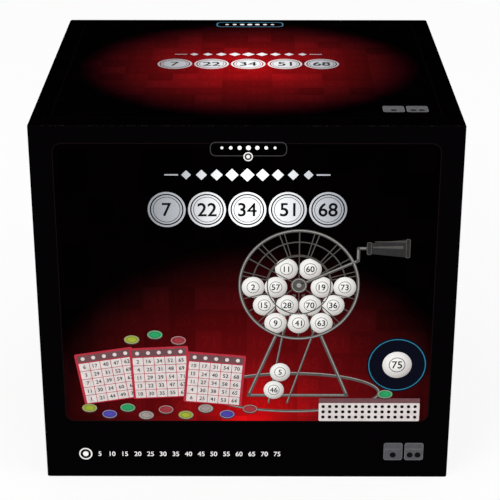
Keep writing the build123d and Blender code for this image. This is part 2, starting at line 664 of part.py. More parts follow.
def make_chip_tray():
    """The rack with a well for each colour of chip, slotted at the front for a finger."""
    with BuildPart() as rack:
        with BuildSketch(Plane.XY.offset(PAD_TOP)):
            with Locations((CHIP_TRAY_X, CHIP_TRAY_Y)):
                Rectangle(CHIP_TRAY_LENGTH, CHIP_TRAY_DEPTH)
        extrude(amount=CHIP_TRAY_FLOOR + CHIP_STACK)
        with BuildSketch(Plane.XY.offset(PAD_TOP + CHIP_TRAY_FLOOR)):
            with Locations((CHIP_TRAY_X, CHIP_TRAY_Y)):
                with GridLocations(CHIP_PITCH, 0, len(CHIP_COLOURS), 1):
                    Circle(CHIP_DIAMETER / 2 + CHIP_WELL_GAP)
            with Locations((CHIP_TRAY_X, CHIP_TRAY_Y - CHIP_TRAY_DEPTH / 2)):
                with GridLocations(CHIP_PITCH, 0, len(CHIP_COLOURS), 1):
                    Rectangle(CHIP_TRAY_SLOT, CHIP_TRAY_DEPTH / 2)
        extrude(amount=CHIP_STACK, mode=Mode.SUBTRACT)
    save(rack, "chip_tray")


def make_chips():
    """Five stacks of counters, one colour to a node."""
    radius = CHIP_DIAMETER / 2
    for index, colour in enumerate(CHIP_COLOURS):
        x = CHIP_TRAY_X + (index - (len(CHIP_COLOURS) - 1) / 2) * CHIP_PITCH
        with BuildPart() as chip:
            Cylinder(radius, CHIP_THICKNESS, align=(Align.CENTER, Align.CENTER, Align.MIN))
            with BuildSketch(Plane.XY, Plane.XY.offset(CHIP_THICKNESS - CHIP_RECESS)):
                Circle(radius - CHIP_RIM)
            extrude(amount=CHIP_RECESS, mode=Mode.SUBTRACT)
        floor = PAD_TOP + CHIP_TRAY_FLOOR
        with BuildPart() as chips:
            with Locations(*[(x, CHIP_TRAY_Y, floor + n * CHIP_STEP) for n in range(CHIP_COUNT)]):
                add(chip.part)
        save(chips, f"chips_{colour}")


make_tray()
make_lid()
make_floor_pad()
make_pocket_divider()
make_partition()
make_leg_frames()
make_side_bars()
make_foot_wire()
make_bearing_plates()
make_main_rings()
make_end_rings()
make_ribs()
make_hubs()
make_axle_pin()
make_ball_cup()
make_crank()
make_grip()
make_track()
make_balls()
make_cards()
make_calling_board()
make_chip_tray()
make_chips()
print("box", BOX_WIDTH, BOX_DEPTH, BOX_HEIGHT)
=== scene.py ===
# %% [markdown]
# A boxed bingo game.
# The solids of the box, the wire cage, the cards and the counters come ready from a CAD program.
# This lesson gives them their finishes and adds what a CAD model leaves out: the printed design on
# the lid, the numbers, the weld beads and real balls with a moulded seam.

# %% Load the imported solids
import random
from math import cos, pi, radians, sin, sqrt

import bmesh
import bpy
from mathutils import Matrix, Vector


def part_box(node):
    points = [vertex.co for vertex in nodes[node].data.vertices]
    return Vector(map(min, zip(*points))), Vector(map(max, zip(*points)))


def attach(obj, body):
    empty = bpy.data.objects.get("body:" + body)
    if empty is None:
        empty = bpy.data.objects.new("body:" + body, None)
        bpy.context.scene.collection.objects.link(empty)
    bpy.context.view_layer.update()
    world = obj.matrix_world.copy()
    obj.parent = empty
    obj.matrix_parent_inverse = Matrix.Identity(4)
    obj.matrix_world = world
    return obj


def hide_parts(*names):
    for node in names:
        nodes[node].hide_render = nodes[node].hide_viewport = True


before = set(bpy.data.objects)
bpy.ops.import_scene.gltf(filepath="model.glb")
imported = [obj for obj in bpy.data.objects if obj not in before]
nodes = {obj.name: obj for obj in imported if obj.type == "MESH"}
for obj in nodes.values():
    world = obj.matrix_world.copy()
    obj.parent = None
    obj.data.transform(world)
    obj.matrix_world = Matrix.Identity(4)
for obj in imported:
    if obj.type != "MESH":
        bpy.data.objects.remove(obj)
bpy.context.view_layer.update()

# %% [markdown]
# The photograph looks down on the box by 23 degrees through a long lens. A camera could be set by eye,
# but the six corners of the box that can be seen fix its place and its lens exactly. Both were worked
# out from them, so they are plain numbers here.

# %% Set the camera
CAMERA_PLACE = (0.00505, -1.01876, 0.55416)
CAMERA_TILT = 66.549
CAMERA_SWING = 0.193
CAMERA_LENS = 112.38
camera_data = bpy.data.cameras.new("portrait_camera")
camera_data.sensor_width = 36
camera_data.lens = CAMERA_LENS
camera_data.clip_start = 0.05
camera = bpy.data.objects.new("portrait_camera", camera_data)
camera.location = CAMERA_PLACE
camera.rotation_euler = (radians(CAMERA_TILT), 0, radians(CAMERA_SWING))
bpy.context.scene.collection.objects.link(camera)
bpy.context.scene.camera = camera
bpy.context.scene.view_settings.view_transform = "Standard"
print("camera at", camera.location[:])

# %% [markdown]
# Blender counts in metres, while most sizes of a box like this are millimetres. Colours are written
# as a screen shows them, from 0 to 255, and turned into the linear colour that a socket wants.

# %% Helpers for sizes and colours
MM = 0.001


def paint(red, green, blue):
    """Turns a screen colour of 0 to 255 into a linear colour."""
    channels = []
    for level in (red / 255, green / 255, blue / 255):
        low = level / 12.92
        high = ((level + 0.055) / 1.055) ** 2.4
        channels.append(low if level <= 0.04045 else high)
    return (*channels, 1)


def dimmed(colour, share):
    """Makes a linear colour darker."""
    return (colour[0] * share, colour[1] * share, colour[2] * share, 1)


print("a screen grey of 128 is", round(paint(128, 128, 128)[0], 3), "in linear light")

# %% [markdown]
# Every finish is built from a few small steps: a node is added, its sockets are fed, two colours are
# mixed, or a value is turned into a colour. Each step gets a helper with a plain name.

# %% Helpers for shader nodes
def put(finish, kind, **settings):
    """Adds a shader node to a finish and sets its options."""
    node = finish.node_tree.nodes.new("ShaderNode" + kind)
    for name, value in settings.items():
        setattr(node, name, value)
    return node


def feed(finish, value, socket):
    """Gives a socket either a link from another node or a plain value."""
    if isinstance(value, bpy.types.NodeSocket):
        finish.node_tree.links.new(value, socket)
    else:
        socket.default_value = value


def mix(finish, share, first, second):
    """Goes from the first colour to the second as share goes from 0 to 1."""
    node = put(finish, "Mix", data_type="RGBA")
    feed(finish, share, node.inputs[0])
    feed(finish, first, node.inputs[6])
    feed(finish, second, node.inputs[7])
    return node.outputs[2]


def ramp(finish, value, stops):
    """Turns a value into a colour through stops of (place, colour)."""
    node = put(finish, "ValToRGB")
    band = node.color_ramp.elements
    for order, (place, colour) in enumerate(stops):
        stop = band[order] if order < 2 else band.new(place)
        stop.position = place
        stop.color = colour
    feed(finish, value, node.inputs[0])
    return node.outputs[0]


def between(finish, value, low, high, start=0.3, end=0.7):
    """Moves a random pattern from its usual spread to the range that a socket needs."""
    node = put(finish, "MapRange")
    feed(finish, value, node.inputs[0])
    node.inputs[1].default_value = start
    node.inputs[2].default_value = end
    node.inputs[3].default_value = low
    node.inputs[4].default_value = high
    return node.outputs[0]


# %% [markdown]
# A printed pattern is worked out from the place of the point that is being shaded. That takes plain
# arithmetic, one Math node for each step. Short names for the steps keep the formulas readable.

# %% Helpers for arithmetic
def calc(finish, operation, first, second=0.0):
    """One step of arithmetic on two values."""
    node = put(finish, "Math", operation=operation)
    feed(finish, first, node.inputs[0])
    feed(finish, second, node.inputs[1])
    return node.outputs[0]


def plus(finish, first, second):
    """Adds two values."""
    return calc(finish, "ADD", first, second)


def minus(finish, first, second):
    """Takes the second value from the first."""
    return calc(finish, "SUBTRACT", first, second)


def times(finish, first, second):
    """Multiplies two values. For shares of 0 or 1 it means that both hold."""
    return calc(finish, "MULTIPLY", first, second)


def over(finish, first, second):
    """Divides the first value by the second."""
    return calc(finish, "DIVIDE", first, second)


def most(finish, first, second):
    """Gives the larger value. For shares of 0 or 1 it means that one of them holds."""
    return calc(finish, "MAXIMUM", first, second)


def above(finish, value, limit):
    """Gives 1 where the value is more than the limit, and 0 elsewhere."""
    return calc(finish, "GREATER_THAN", value, limit)


def below(finish, value, limit):
    """Gives 1 where the value is less than the limit, and 0 elsewhere."""
    return calc(finish, "LESS_THAN", value, limit)


def away(finish, value, middle=0.0):
    """Gives how far a value lies from a middle, on either side."""
    return calc(finish, "ABSOLUTE", minus(finish, value, middle))


def reach_of(finish, first, second):
    """Gives the length of a way that goes first along one axis and then along the other."""
    squares = plus(finish, calc(finish, "POWER", first, 2), calc(finish, "POWER", second, 2))
    return calc(finish, "SQRT", squares)


def spot(finish):
    """Gives the three coordinates of the point that is being shaded, in metres."""
    where = put(finish, "TexCoord")
    apart = put(finish, "SeparateXYZ")
    feed(finish, where.outputs["Object"], apart.inputs[0])
    return apart.outputs


# %% [markdown]
# No real surface is the same all over. Its colour, gloss and height change a little from place to
# place, and noise textures can drive all three: a broad one the colour, and a fine one the gloss and
# the height. A painted image would do it too, but a noise needs no file and has no seams. A dress
# function then puts the finish on solids.

# %% Helpers for finishes
EVEN = (1, 1, 1)


def grain(finish, scale, detail=3.0, stretch=EVEN):
    """A soft random pattern from 0 to 1. Scale is how many blobs lie on a metre."""
    where = put(finish, "TexCoord")
    mapping = put(finish, "Mapping")
    mapping.inputs["Scale"].default_value = stretch
    noise = put(finish, "TexNoise")
    noise.inputs["Scale"].default_value = scale
    noise.inputs["Detail"].default_value = detail
    feed(finish, where.outputs["Object"], mapping.inputs[0])
    feed(finish, mapping.outputs[0], noise.inputs["Vector"])
    return noise.outputs[0]


def relief(finish, height, depth):
    """Raises the surface by a pattern, depth in metres."""
    bump = put(finish, "Bump")
    bump.inputs["Strength"].default_value = 1
    bump.inputs["Distance"].default_value = depth
    feed(finish, height, bump.inputs["Height"])
    feed(finish, bump.outputs[0], finish.node_tree.nodes["Principled BSDF"].inputs["Normal"])


def new_finish(name, metallic=0.0, specular=0.5, coat=0.0):
    """Starts a finish with the constants that are the same all over."""
    finish = bpy.data.materials.new(name)
    finish.use_nodes = True
    shader = finish.node_tree.nodes["Principled BSDF"]
    shader.inputs["Metallic"].default_value = metallic
    shader.inputs["Specular IOR Level"].default_value = specular
    shader.inputs["Coat Weight"].default_value = coat
    shader.inputs["Coat Roughness"].default_value = 0.12
    return finish, shader.inputs


def wear(finish, sockets, dark, light, scale, rough, depth, stretch=EVEN):
    """Lets the colour follow a broad random pattern, and gloss and relief a fine one."""
    blobs = grain(finish, scale, 4.0, stretch)
    fine = grain(finish, scale * 7, 2.0, stretch)
    colour = mix(finish, between(finish, blobs, 0, 1), dark, light)
    feed(finish, colour, sockets["Base Color"])
    feed(finish, between(finish, fine, rough[0], rough[1]), sockets["Roughness"])
    relief(finish, fine, depth)


def dress(finish, *names):
    """Puts a finish on solids that keep their CAD shape."""
    for name in names:
        for socket in nodes[name].material_slots:
            socket.material = finish
    print(finish.name, "on", len(names), "solids")


# %% [markdown]
# The studio is a pale floor and a white sky. More light would whiten it, but would wash out the
# colours of the box. So the camera sees the sky as white, while the light that falls on the box stays
# at the level where a colour renders as it is written. A Light Path node tells the two apart. What a
# mirror or clear plastic shows counts as seen, so it is white too.

# %% Build the sky
DAYLIGHT = 0.74


def seen_share(finish):
    """Gives 1 for what the camera sees, straight or by a mirror or clear plastic, and else 0."""
    path = put(finish, "LightPath").outputs
    straight_or_mirror = most(finish, path["Is Camera Ray"], path["Is Glossy Ray"])
    return most(finish, straight_or_mirror, path["Is Transmission Ray"])


sky = bpy.data.worlds.new("white_sky")
bpy.context.scene.world = sky
sky.use_nodes = True
sky_light = sky.node_tree.nodes["Background"]
sky_light.inputs["Color"].default_value = (1, 1, 1, 1)
feed(sky, between(sky, seen_share(sky), DAYLIGHT, 1, 0, 1), sky_light.inputs["Strength"])
print("sky lights the box at", DAYLIGHT)

# %% [markdown]
# A floor that is plain white for the camera would lose the shadow of the box. This one mixes its own
# lit colour with that white, so that the box keeps a soft shadow to stand on.

# %% Build the floor
FLOOR_SIZE = 8
FLOOR_WHITE_SHARE = 0.86
floor_shape = bmesh.new()
bmesh.ops.create_grid(floor_shape, x_segments=8, y_segments=8, size=FLOOR_SIZE)
floor_mesh = bpy.data.meshes.new("studio_floor")
floor_shape.to_mesh(floor_mesh)
floor_shape.free()
floor = bpy.data.objects.new("studio_floor", floor_mesh)
bpy.context.scene.collection.objects.link(floor)

floor_paint, floor_sockets = new_finish("pale_floor", specular=0.1)
floor_sockets["Roughness"].default_value = 0.8
floor_sockets["Base Color"].default_value = (0.9, 0.9, 0.9, 1)
white_card = put(floor_paint, "Emission")
white_card.inputs["Strength"].default_value = 1
both = put(floor_paint, "MixShader")
floor_nodes = floor_paint.node_tree.nodes
feed(floor_paint, times(floor_paint, seen_share(floor_paint), FLOOR_WHITE_SHARE), both.inputs[0])
feed(floor_paint, floor_nodes["Principled BSDF"].outputs[0], both.inputs[1])
feed(floor_paint, white_card.outputs[0], both.inputs[2])
feed(floor_paint, both.outputs[0], floor_nodes["Material Output"].inputs[0])
floor_mesh.materials.append(floor_paint)
print("floor is", 2 * FLOOR_SIZE, "metres wide")

# %% [markdown]
# Two lamps light the box, the stronger one from the left. Small lamps would give hard shadows, so both
# are broad. A lamp shines along its own -Z, so the way from the lamp to the middle of the box is
# turned into its rotation.

# %% Hang the lamps
BOX_MIDDLE = Vector((0, 0, 0.12))
for name, place, power, size in [
    ("key_lamp", (-1.1, -1.5, 1.5), 24, 1.2),
    ("fill_lamp", (1.5, -0.9, 0.9), 12, 1.4),
]:
    lamp_data = bpy.data.lights.new(name, "AREA")
    lamp_data.energy = power
    lamp_data.size = size
    lamp = bpy.data.objects.new(name, lamp_data)
    lamp.location = place
    aim = BOX_MIDDLE - Vector(place)
    lamp.rotation_euler = aim.to_track_quat("-Z", "Y").to_euler()
    bpy.context.scene.collection.objects.link(lamp)
    print(name, power, "watts")

# %% [markdown]
# The lid is greyboard wrapped in printed paper. Its print is black, with a red glow on the front and
# another on the top. An image would need a file, so the print is worked out from the place alone.
# The outside of the lid gives the size of each face.

# %% Sizes of the print
lid_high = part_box("lid_shell")[1]
HALF_X = lid_high.x
HALF_Y = lid_high.y
TOP = lid_high.z
SKIN = 0.9 * MM
TILE_ACROSS = 16.5 * MM
TILE_UP = 15.5 * MM
TILE_WEAKEST = 0.74
TILE_STRONGEST = 1.2
WINDOW_HALF = 119 * MM
WINDOW_LOW = 42.4 * MM
WINDOW_HIGH = 236 * MM
WINDOW_CORNER = 6 * MM
SIDE_GLOW_HEIGHT = 121 * MM
print("lid", round(2 * HALF_X / MM, 1), "by", round(2 * HALF_Y / MM, 1), "up to", round(TOP / MM, 1))

# %% [markdown]
# A glow runs from its middle out to black at its reach, which may be wider than it is high. The stops
# give its colour at shares of that way. The front's fall steeply at first and the top's more evenly,
# which a plain fade between two colours could not give.

# %% Colours of the glows
PAPER_BLACK = paint(4, 3, 4)
FRONT_GLOW_MIDDLE = (4 * MM, 42 * MM)
FRONT_GLOW_REACH = (148 * MM, 130 * MM)
FRONT_STOPS = [
    (0.00, paint(204, 12, 16)),
    (0.07, paint(182, 12, 16)),
    (0.13, paint(162, 12, 15)),
    (0.20, paint(136, 11, 14)),
    (0.27, paint(116, 10, 13)),
    (0.36, paint(93, 8, 11)),
    (0.47, paint(82, 7, 10)),
    (0.58, paint(69, 6, 8)),
    (0.68, paint(53, 5, 7)),
    (0.78, paint(40, 4, 5)),
    (0.86, paint(24, 3, 4)),
    (0.92, paint(10, 1, 2)),
    (0.97, paint(2, 1, 1)),
]
TOP_GLOW_MIDDLE = (1 * MM, 3 * MM)
TOP_GLOW_REACH = (118 * MM, 112 * MM)
TOP_STOPS = [
    (0.00, paint(178, 15, 20)),
    (0.15, paint(156, 14, 18)),
    (0.30, paint(126, 12, 16)),
    (0.46, paint(100, 10, 13)),
    (0.60, paint(79, 8, 11)),
    (0.74, paint(55, 6, 8)),
    (0.84, paint(35, 3, 6)),
    (0.92, paint(15, 1, 3)),
    (0.98, paint(2, 1, 1)),
]
print("the glows have", len(FRONT_STOPS), "and", len(TOP_STOPS), "stops")

# %% [markdown]
# Tiles of slightly different strength lie over a glow. The place of a point is rounded down to a whole
# tile, a White Noise node gives each tile its own value, and that value scales the red of the ramp.

# %% One glow
def glow(finish, across, up, middle, reach, stops):
    """A red glow with tiles, from its middle out to black at its reach."""
    aside = over(finish, minus(finish, across, middle[0]), reach[0])
    rise = over(finish, minus(finish, up, middle[1]), reach[1])
    red = ramp(finish, reach_of(finish, aside, rise), stops)
    tile = put(finish, "CombineXYZ")
    feed(finish, calc(finish, "FLOOR", over(finish, across, TILE_ACROSS)), tile.inputs[0])
    feed(finish, calc(finish, "FLOOR", over(finish, up, TILE_UP)), tile.inputs[1])
    dice = put(finish, "TexWhiteNoise", noise_dimensions="3D")
    feed(finish, tile.outputs[0], dice.inputs["Vector"])
    strength = between(finish, dice.outputs["Value"], TILE_WEAKEST, TILE_STRONGEST, 0, 1)
    tiled = put(finish, "VectorMath", operation="SCALE")
    feed(finish, red, tiled.inputs[0])
    feed(finish, strength, tiled.inputs["Scale"])
    return tiled.outputs[0]


print("tiles across a face", round(2 * HALF_X / TILE_ACROSS, 1))

# %% [markdown]
# On the front the glow fills a window with round corners. On the top it fades to black by itself, and
# the sides and the back repeat the top's glow. The place of a point tells which face it lies on, and
# shares of 0 or 1 switch between the faces.

# %% The print of the whole lid
def in_window(finish, x, z):
    """Gives 1 inside the window of the front and 0 outside it."""
    middle = (WINDOW_LOW + WINDOW_HIGH) / 2
    half_up = (WINDOW_HIGH - WINDOW_LOW) / 2
    past_side = minus(finish, away(finish, x), WINDOW_HALF - WINDOW_CORNER)
    past_end = minus(finish, away(finish, z, middle), half_up - WINDOW_CORNER)
    into_corner = reach_of(finish, most(finish, past_side, 0), most(finish, past_end, 0))
    return below(finish, into_corner, WINDOW_CORNER)


def printed_colour(finish):
    """The whole printed design of the lid, as a colour that depends on the place alone."""
    x, y, z = spot(finish)
    on_front = below(finish, y, SKIN - HALF_Y)
    on_top = above(finish, z, TOP - SKIN)
    below_top = minus(finish, 1, on_top)
    on_side = times(finish, above(finish, away(finish, x), HALF_X - SKIN), below_top)
    across = plus(finish, x, times(finish, on_side, minus(finish, y, x)))
    lowered = minus(finish, z, SIDE_GLOW_HEIGHT)
    up = plus(finish, lowered, times(finish, on_top, minus(finish, y, lowered)))
    front = glow(finish, x, z, FRONT_GLOW_MIDDLE, FRONT_GLOW_REACH, FRONT_STOPS)
    soft = glow(finish, across, up, TOP_GLOW_MIDDLE, TOP_GLOW_REACH, TOP_STOPS)
    front_print = mix(finish, in_window(finish, x, z), PAPER_BLACK, front)
    return mix(finish, on_front, soft, front_print)


print("the window is", round(2 * WINDOW_HALF / MM), "mm wide")

# %% [markdown]
# The lid is a single solid, and its mesh stays whole, so one finish does all of it. A point near the
# outside gets the print. A point inside gets the bare board, apart from a strip above the rim, where
# black paper is turned in. Where two or three outer faces meet, the paper is rubbed a little. A count
# of the faces that are near tells these cases apart.

# %% Make the lid's finish
TURN_IN_HEIGHT = 17 * MM
RUB_WIDTH = 0.7 * MM
RUB_WIDTH_ON_TOP = 0.5 * MM


def faces_near(finish, inset, top_inset):
    """Gives how many of the lid's outer faces a point is close to."""
    x, y, z = spot(finish)
    near_side = above(finish, away(finish, x), HALF_X - inset)
    near_end = above(finish, away(finish, y), HALF_Y - inset)
    near_top = above(finish, z, TOP - top_inset)
    return plus(finish, plus(finish, near_side, near_end), near_top)


lid_print, lid_sockets = new_finish("lid_printed_paper", specular=0.0)
outside = above(lid_print, faces_near(lid_print, SKIN, SKIN), 0.5)
turned_in = below(lid_print, spot(lid_print)[2], TURN_IN_HEIGHT)
fibres = grain(lid_print, 900, 4.0)
board = mix(lid_print, between(lid_print, fibres, 0, 1), paint(150, 145, 136), paint(186, 182, 172))
lining = mix(lid_print, turned_in, board, paint(16, 14, 15))
lid_colour = mix(lid_print, outside, lining, printed_colour(lid_print))
on_edge = above(lid_print, faces_near(lid_print, RUB_WIDTH, RUB_WIDTH_ON_TOP), 1.5)
rubbed = times(lid_print, on_edge, between(lid_print, fibres, 0, 0.05, 0.5, 0.75))
feed(lid_print, mix(lid_print, rubbed, lid_colour, paint(120, 116, 112)), lid_sockets["Base Color"])
smooth = between(lid_print, grain(lid_print, 60, 3.0), 0.42, 0.52)
inside = minus(lid_print, 1, outside)
rough = plus(lid_print, smooth, times(lid_print, inside, 0.4))
feed(lid_print, rough, lid_sockets["Roughness"])
relief(lid_print, fibres, 0.012 * MM)
dress(lid_print, "lid_shell")

# %% [markdown]
# The printed marks are thin inks and foils that lie on the paper. They could be part of the lid's
# finish, but numbers and rings are simpler to draw as shapes, and stay sharp from near by. Each is
# drawn flat first, with x to the right and y up as a reader sees it, and then moved onto its face of
# the box by one matrix.

# %% The faces of the box
def face_matrix(right, up, out, origin):
    """Gives the matrix that moves a flat drawing onto a face of the box."""
    columns = [Vector(right), Vector(up), Vector(out)]
    turn = Matrix(columns).transposed().to_4x4()
    return Matrix.Translation(Vector(origin)) @ turn


FRONT = face_matrix((1, 0, 0), (0, 0, 1), (0, -1, 0), (0, -HALF_Y, 0))
BACK = face_matrix((-1, 0, 0), (0, 0, 1), (0, 1, 0), (0, HALF_Y, 0))
LEFT = face_matrix((0, -1, 0), (0, 0, 1), (-1, 0, 0), (-HALF_X, 0, 0))
RIGHT = face_matrix((0, 1, 0), (0, 0, 1), (1, 0, 0), (HALF_X, 0, 0))
UPPER = face_matrix((1, 0, 0), (0, 1, 0), (0, 0, 1), (0, 0, TOP))
print("front face lies at y", round(-HALF_Y / MM, 1))

# %% [markdown]
# The print needs only a few shapes. Their sizes are in millimetres, and a level counts coats of ink.
# A disc is a very flat cone. A ring starts as a circle with a face: an inset leaves a rim of new faces
# along its edge, and the face inside the rim is deleted.

# %% Round marks
INK = 0.03 * MM


def place_matrix(centre, height):
    """Gives the matrix of a mark's place, with its height in coats of ink."""
    return Matrix.Translation((centre[0] * MM, centre[1] * MM, height * INK))


def lift(shape, faces):
    """Gives flat faces the thickness of a coat of ink."""
    grown = bmesh.ops.extrude_face_region(shape, geom=faces)
    corners = [part for part in grown["geom"] if isinstance(part, bmesh.types.BMVert)]
    bmesh.ops.translate(shape, verts=corners, vec=(0, 0, INK))


def disc(shape, centre, radius, level=0, sides=40, squash=1.0):
    """Draws a filled circle, flattened by squash."""
    flat = place_matrix(centre, level + 0.5) @ Matrix.Diagonal((1, squash, 1, 1))
    bmesh.ops.create_cone(
        shape, cap_ends=True, segments=sides, radius1=radius * MM, radius2=radius * MM * 0.998,
        depth=INK, matrix=flat,
    )


def outline(shape, face, line):
    """Keeps only a line along the edge of a flat face."""
    edge = bmesh.ops.inset_region(
        shape, faces=[face], thickness=line * MM, use_boundary=True, use_even_offset=True,
    )
    rim = edge["faces"]
    bmesh.ops.delete(shape, geom=[face], context="FACES")
    lift(shape, rim)


def ring(shape, centre, radius, line, level=0, sides=48, squash=1.0):
    """Draws a circle of a given line width, flattened by squash."""
    flat = place_matrix(centre, level) @ Matrix.Diagonal((1, squash, 1, 1))
    made = bmesh.ops.create_circle(
        shape, cap_ends=True, segments=sides, radius=radius * MM, matrix=flat,
    )
    outline(shape, made["verts"][0].link_faces[0], line)


print("a coat of ink is", INK / MM, "mm thick")

# %% [markdown]
# A panel is one flat face that gets the thickness of a coat of ink. A bevel rounds its four corners,
# and puts a new face in the place of the first. A line is a long narrow panel between two points.

# %% Panels and lines
def sheet_face(shape, centre, width, height, corner, level, turn):
    """Makes one flat face with rounded corners."""
    turned = place_matrix(centre, level) @ Matrix.Rotation(radians(turn), 4, "Z")
    whole = turned @ Matrix.Diagonal((width * MM, height * MM, 1, 1))
    made = bmesh.ops.create_grid(shape, x_segments=1, y_segments=1, size=0.5, matrix=whole)
    if corner:
        made = bmesh.ops.bevel(
            shape, geom=made["verts"], offset=corner * MM, affect="VERTICES", segments=5,
            profile=0.5, material=-1, clamp_overlap=True,
        )
    return made["verts"][0].link_faces[0]


def panel(shape, centre, width, height, corner=0, level=0, turn=0):
    """Draws a filled panel."""
    lift(shape, [sheet_face(shape, centre, width, height, corner, level, turn)])


def border(shape, centre, width, height, corner, line, level=0, turn=0):
    """Draws the outline of a panel."""
    outline(shape, sheet_face(shape, centre, width, height, corner, level, turn), line)


def bar(shape, start, end, width, level=0):
    """Draws a straight line."""
    run = Vector(end) - Vector(start)
    middle = (Vector(end) + Vector(start)) / 2
    turn = run.angle_signed(Vector((1, 0))) * 180 / pi
    panel(shape, middle[:], run.length, width, 0, level, turn)


trial = bmesh.new()
panel(trial, (0, 0), 20, 10, 2)
print("faces of a panel with round corners", len(trial.faces))
trial.free()

# %% [markdown]
# A finished shape becomes a mesh object once. Its place is in its mesh, and the object stays at the
# origin, as the CAD solids do. It is told which body of the part it rides on, so that the print rises
# with the lid.

# %% Helpers for pieces
def object_from(name, shape, finish):
    """Turns a shape into a named object with one finish."""
    mesh = bpy.data.meshes.new(name)
    shape.to_mesh(mesh)
    shape.free()
    mesh.materials.append(finish)
    made = bpy.data.objects.new(name, mesh)
    bpy.context.scene.collection.objects.link(made)
    print(name, len(mesh.polygons), "faces")
    return made


def piece_from(name, shape, finish, body, smooth=False):
    """Turns a shape into a piece that moves with a body of the part."""
    bmesh.ops.recalc_face_normals(shape, faces=shape.faces)
    for face in shape.faces:
        face.smooth = smooth
    piece = object_from(name, shape, finish)
    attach(piece, body)


def print_on(name, drawing, finish, matrix, body="lid"):
    """Moves a flat drawing onto a face and makes it a piece."""
    bmesh.ops.transform(drawing, matrix=matrix, verts=drawing.verts)
    piece_from(name, drawing, finish, body)


# %% [markdown]
# Numbers start as Blender text and become a mesh at once. The text's own bold offset would close the
# small hole of a 4, so the mesh is made bolder instead: an inset by a negative width pushes its edge
# outwards. Each mesh is kept, so that the same number can be printed on balls, cards and the board.

# %% Helper for numbers
NUMBER_SIZE = 1.38
BOLDER = 0.022
number_meshes = {}


def number_mesh(value, curve_steps=2):
    """Gives the mesh of a number that is one unit high, centred on the origin."""
    key = (value, curve_steps)
    if key not in number_meshes:
        curve = bpy.data.curves.new("number_curve", "FONT")
        curve.body = str(value)
        curve.size = NUMBER_SIZE
        curve.resolution_u = curve_steps
        curve.align_x = "CENTER"
        curve.align_y = "CENTER"
        holder = bpy.data.objects.new("number_holder", curve)
        mesh = bpy.data.meshes.new_from_object(holder)
        bpy.data.objects.remove(holder)
        bpy.data.curves.remove(curve)
        shape = bmesh.new()
        shape.from_mesh(mesh)
        bmesh.ops.remove_doubles(shape, verts=shape.verts, dist=0.0001)
        rim = bmesh.ops.inset_region(
            shape, faces=list(shape.faces), thickness=-BOLDER, use_boundary=True,
        )
        bmesh.ops.delete(shape, geom=rim["faces"], context="FACES")
        lows = [min(corner.co[axis] for corner in shape.verts) for axis in (0, 1)]
        highs = [max(corner.co[axis] for corner in shape.verts) for axis in (0, 1)]
        middle = Vector(((lows[0] + highs[0]) / 2, (lows[1] + highs[1]) / 2, 0))
        bmesh.ops.translate(shape, verts=shape.verts, vec=-middle)
        shape.to_mesh(mesh)
        shape.free()
        number_meshes[key] = mesh
    return number_meshes[key]


def number(shape, value, centre, height, level=0, turn=0, curve_steps=2):
    """Prints a number into a flat drawing, on top of the coat that its level names."""
    copy = number_mesh(value, curve_steps).copy()
    turned = Matrix.Rotation(radians(turn), 4, "Z")
    copy.transform(place_matrix(centre, level + 1) @ turned @ Matrix.Scale(height * MM, 4))
    shape.from_mesh(copy)
    bpy.data.meshes.remove(copy)


print("height of the number 8:", max(corner.co.y for corner in number_mesh(8).vertices) * 2)

# %% [markdown]
# The silver of the numbered discs is a printed foil. A metal would only mirror the white studio, so
# the foil's reflection is painted: a ramp along the width of the face makes it pale in the middle of
# the box and grey towards its sides. A fine grain keeps it from looking flat.

# %% The foils, with a painted reflection
FOIL_HALF = 66 * MM
FOIL_REFLECTION_STOPS = [
    (0.00, paint(112, 116, 122)),
    (0.20, paint(164, 167, 172)),
    (0.42, paint(244, 245, 247)),
    (0.58, paint(250, 251, 252)),
    (0.80, paint(186, 189, 194)),
    (1.00, paint(124, 129, 136)),
]


def foil_finish(name, axis):
    """A silver foil with a painted reflection: its brightness runs along one axis of the box."""
    finish, sockets = new_finish(name, metallic=0.0, specular=0.35)
    along = between(finish, spot(finish)[axis], 0, 1, -FOIL_HALF, FOIL_HALF)
    # Painted reflection: the ramp makes the foil pale in the middle of the box and grey at its sides.
    silver = ramp(finish, along, FOIL_REFLECTION_STOPS)
    speckle = between(finish, grain(finish, 1500, 2.0), 0, 0.16)
    feed(finish, mix(finish, speckle, silver, paint(150, 154, 160)), sockets["Base Color"])
    feed(finish, between(finish, grain(finish, 220, 3.0), 0.24, 0.38), sockets["Roughness"])
    relief(finish, grain(finish, 1800, 2.0), 0.006 * MM)
    return finish


reflection_foil_x = foil_finish("silver_foil_painted_reflection_front", 0)
reflection_foil_y = foil_finish("silver_foil_painted_reflection_side", 1)
print("foils ready")

# %% [markdown]
# An ink is matt and a little uneven. All inks of the print share one function, and differ in their
# colour. Only the thin frame lines have no gloss at all, because a gloss would make them shine on the
# faces that are seen at a low angle.

# %% The inks
def ink_finish(name, colour, specular=0.03):
    """A flat ink with the slight unevenness of a real print."""
    finish, sockets = new_finish(name, specular=specular)
    wear(finish, sockets, dimmed(colour, 0.8), colour, 260, (0.4, 0.54), 0.006 * MM)
    return finish


ink_black = ink_finish("ink_black", paint(10, 9, 10))
ink_faint = ink_finish("ink_faint_line", paint(20, 13, 14), 0.0)
ink_fainter = ink_finish("ink_fainter_line", paint(9, 6, 7), 0.0)
ink_pill = ink_finish("ink_pill_grey", paint(58, 58, 60))
ink_tab = ink_finish("ink_tab_grey", paint(80, 80, 84))
ink_tab_edge = ink_finish("ink_tab_edge", paint(106, 106, 110))
ink_wire = ink_finish("ink_wire_grey", paint(78, 76, 73))
ink_wire_pale = ink_finish("ink_wire_pale", paint(150, 149, 147))
ink_grip = ink_finish("ink_grip_grey", paint(44, 43, 43))
ink_white = ink_finish("ink_white", paint(238, 236, 235))
ink_card = ink_finish("ink_card_white", paint(208, 200, 198))
ink_red = ink_finish("ink_card_red", paint(172, 44, 58))
ink_header = ink_finish("ink_header_grey", paint(104, 70, 74))
ink_navy = ink_finish("ink_badge_navy", paint(3, 6, 20))
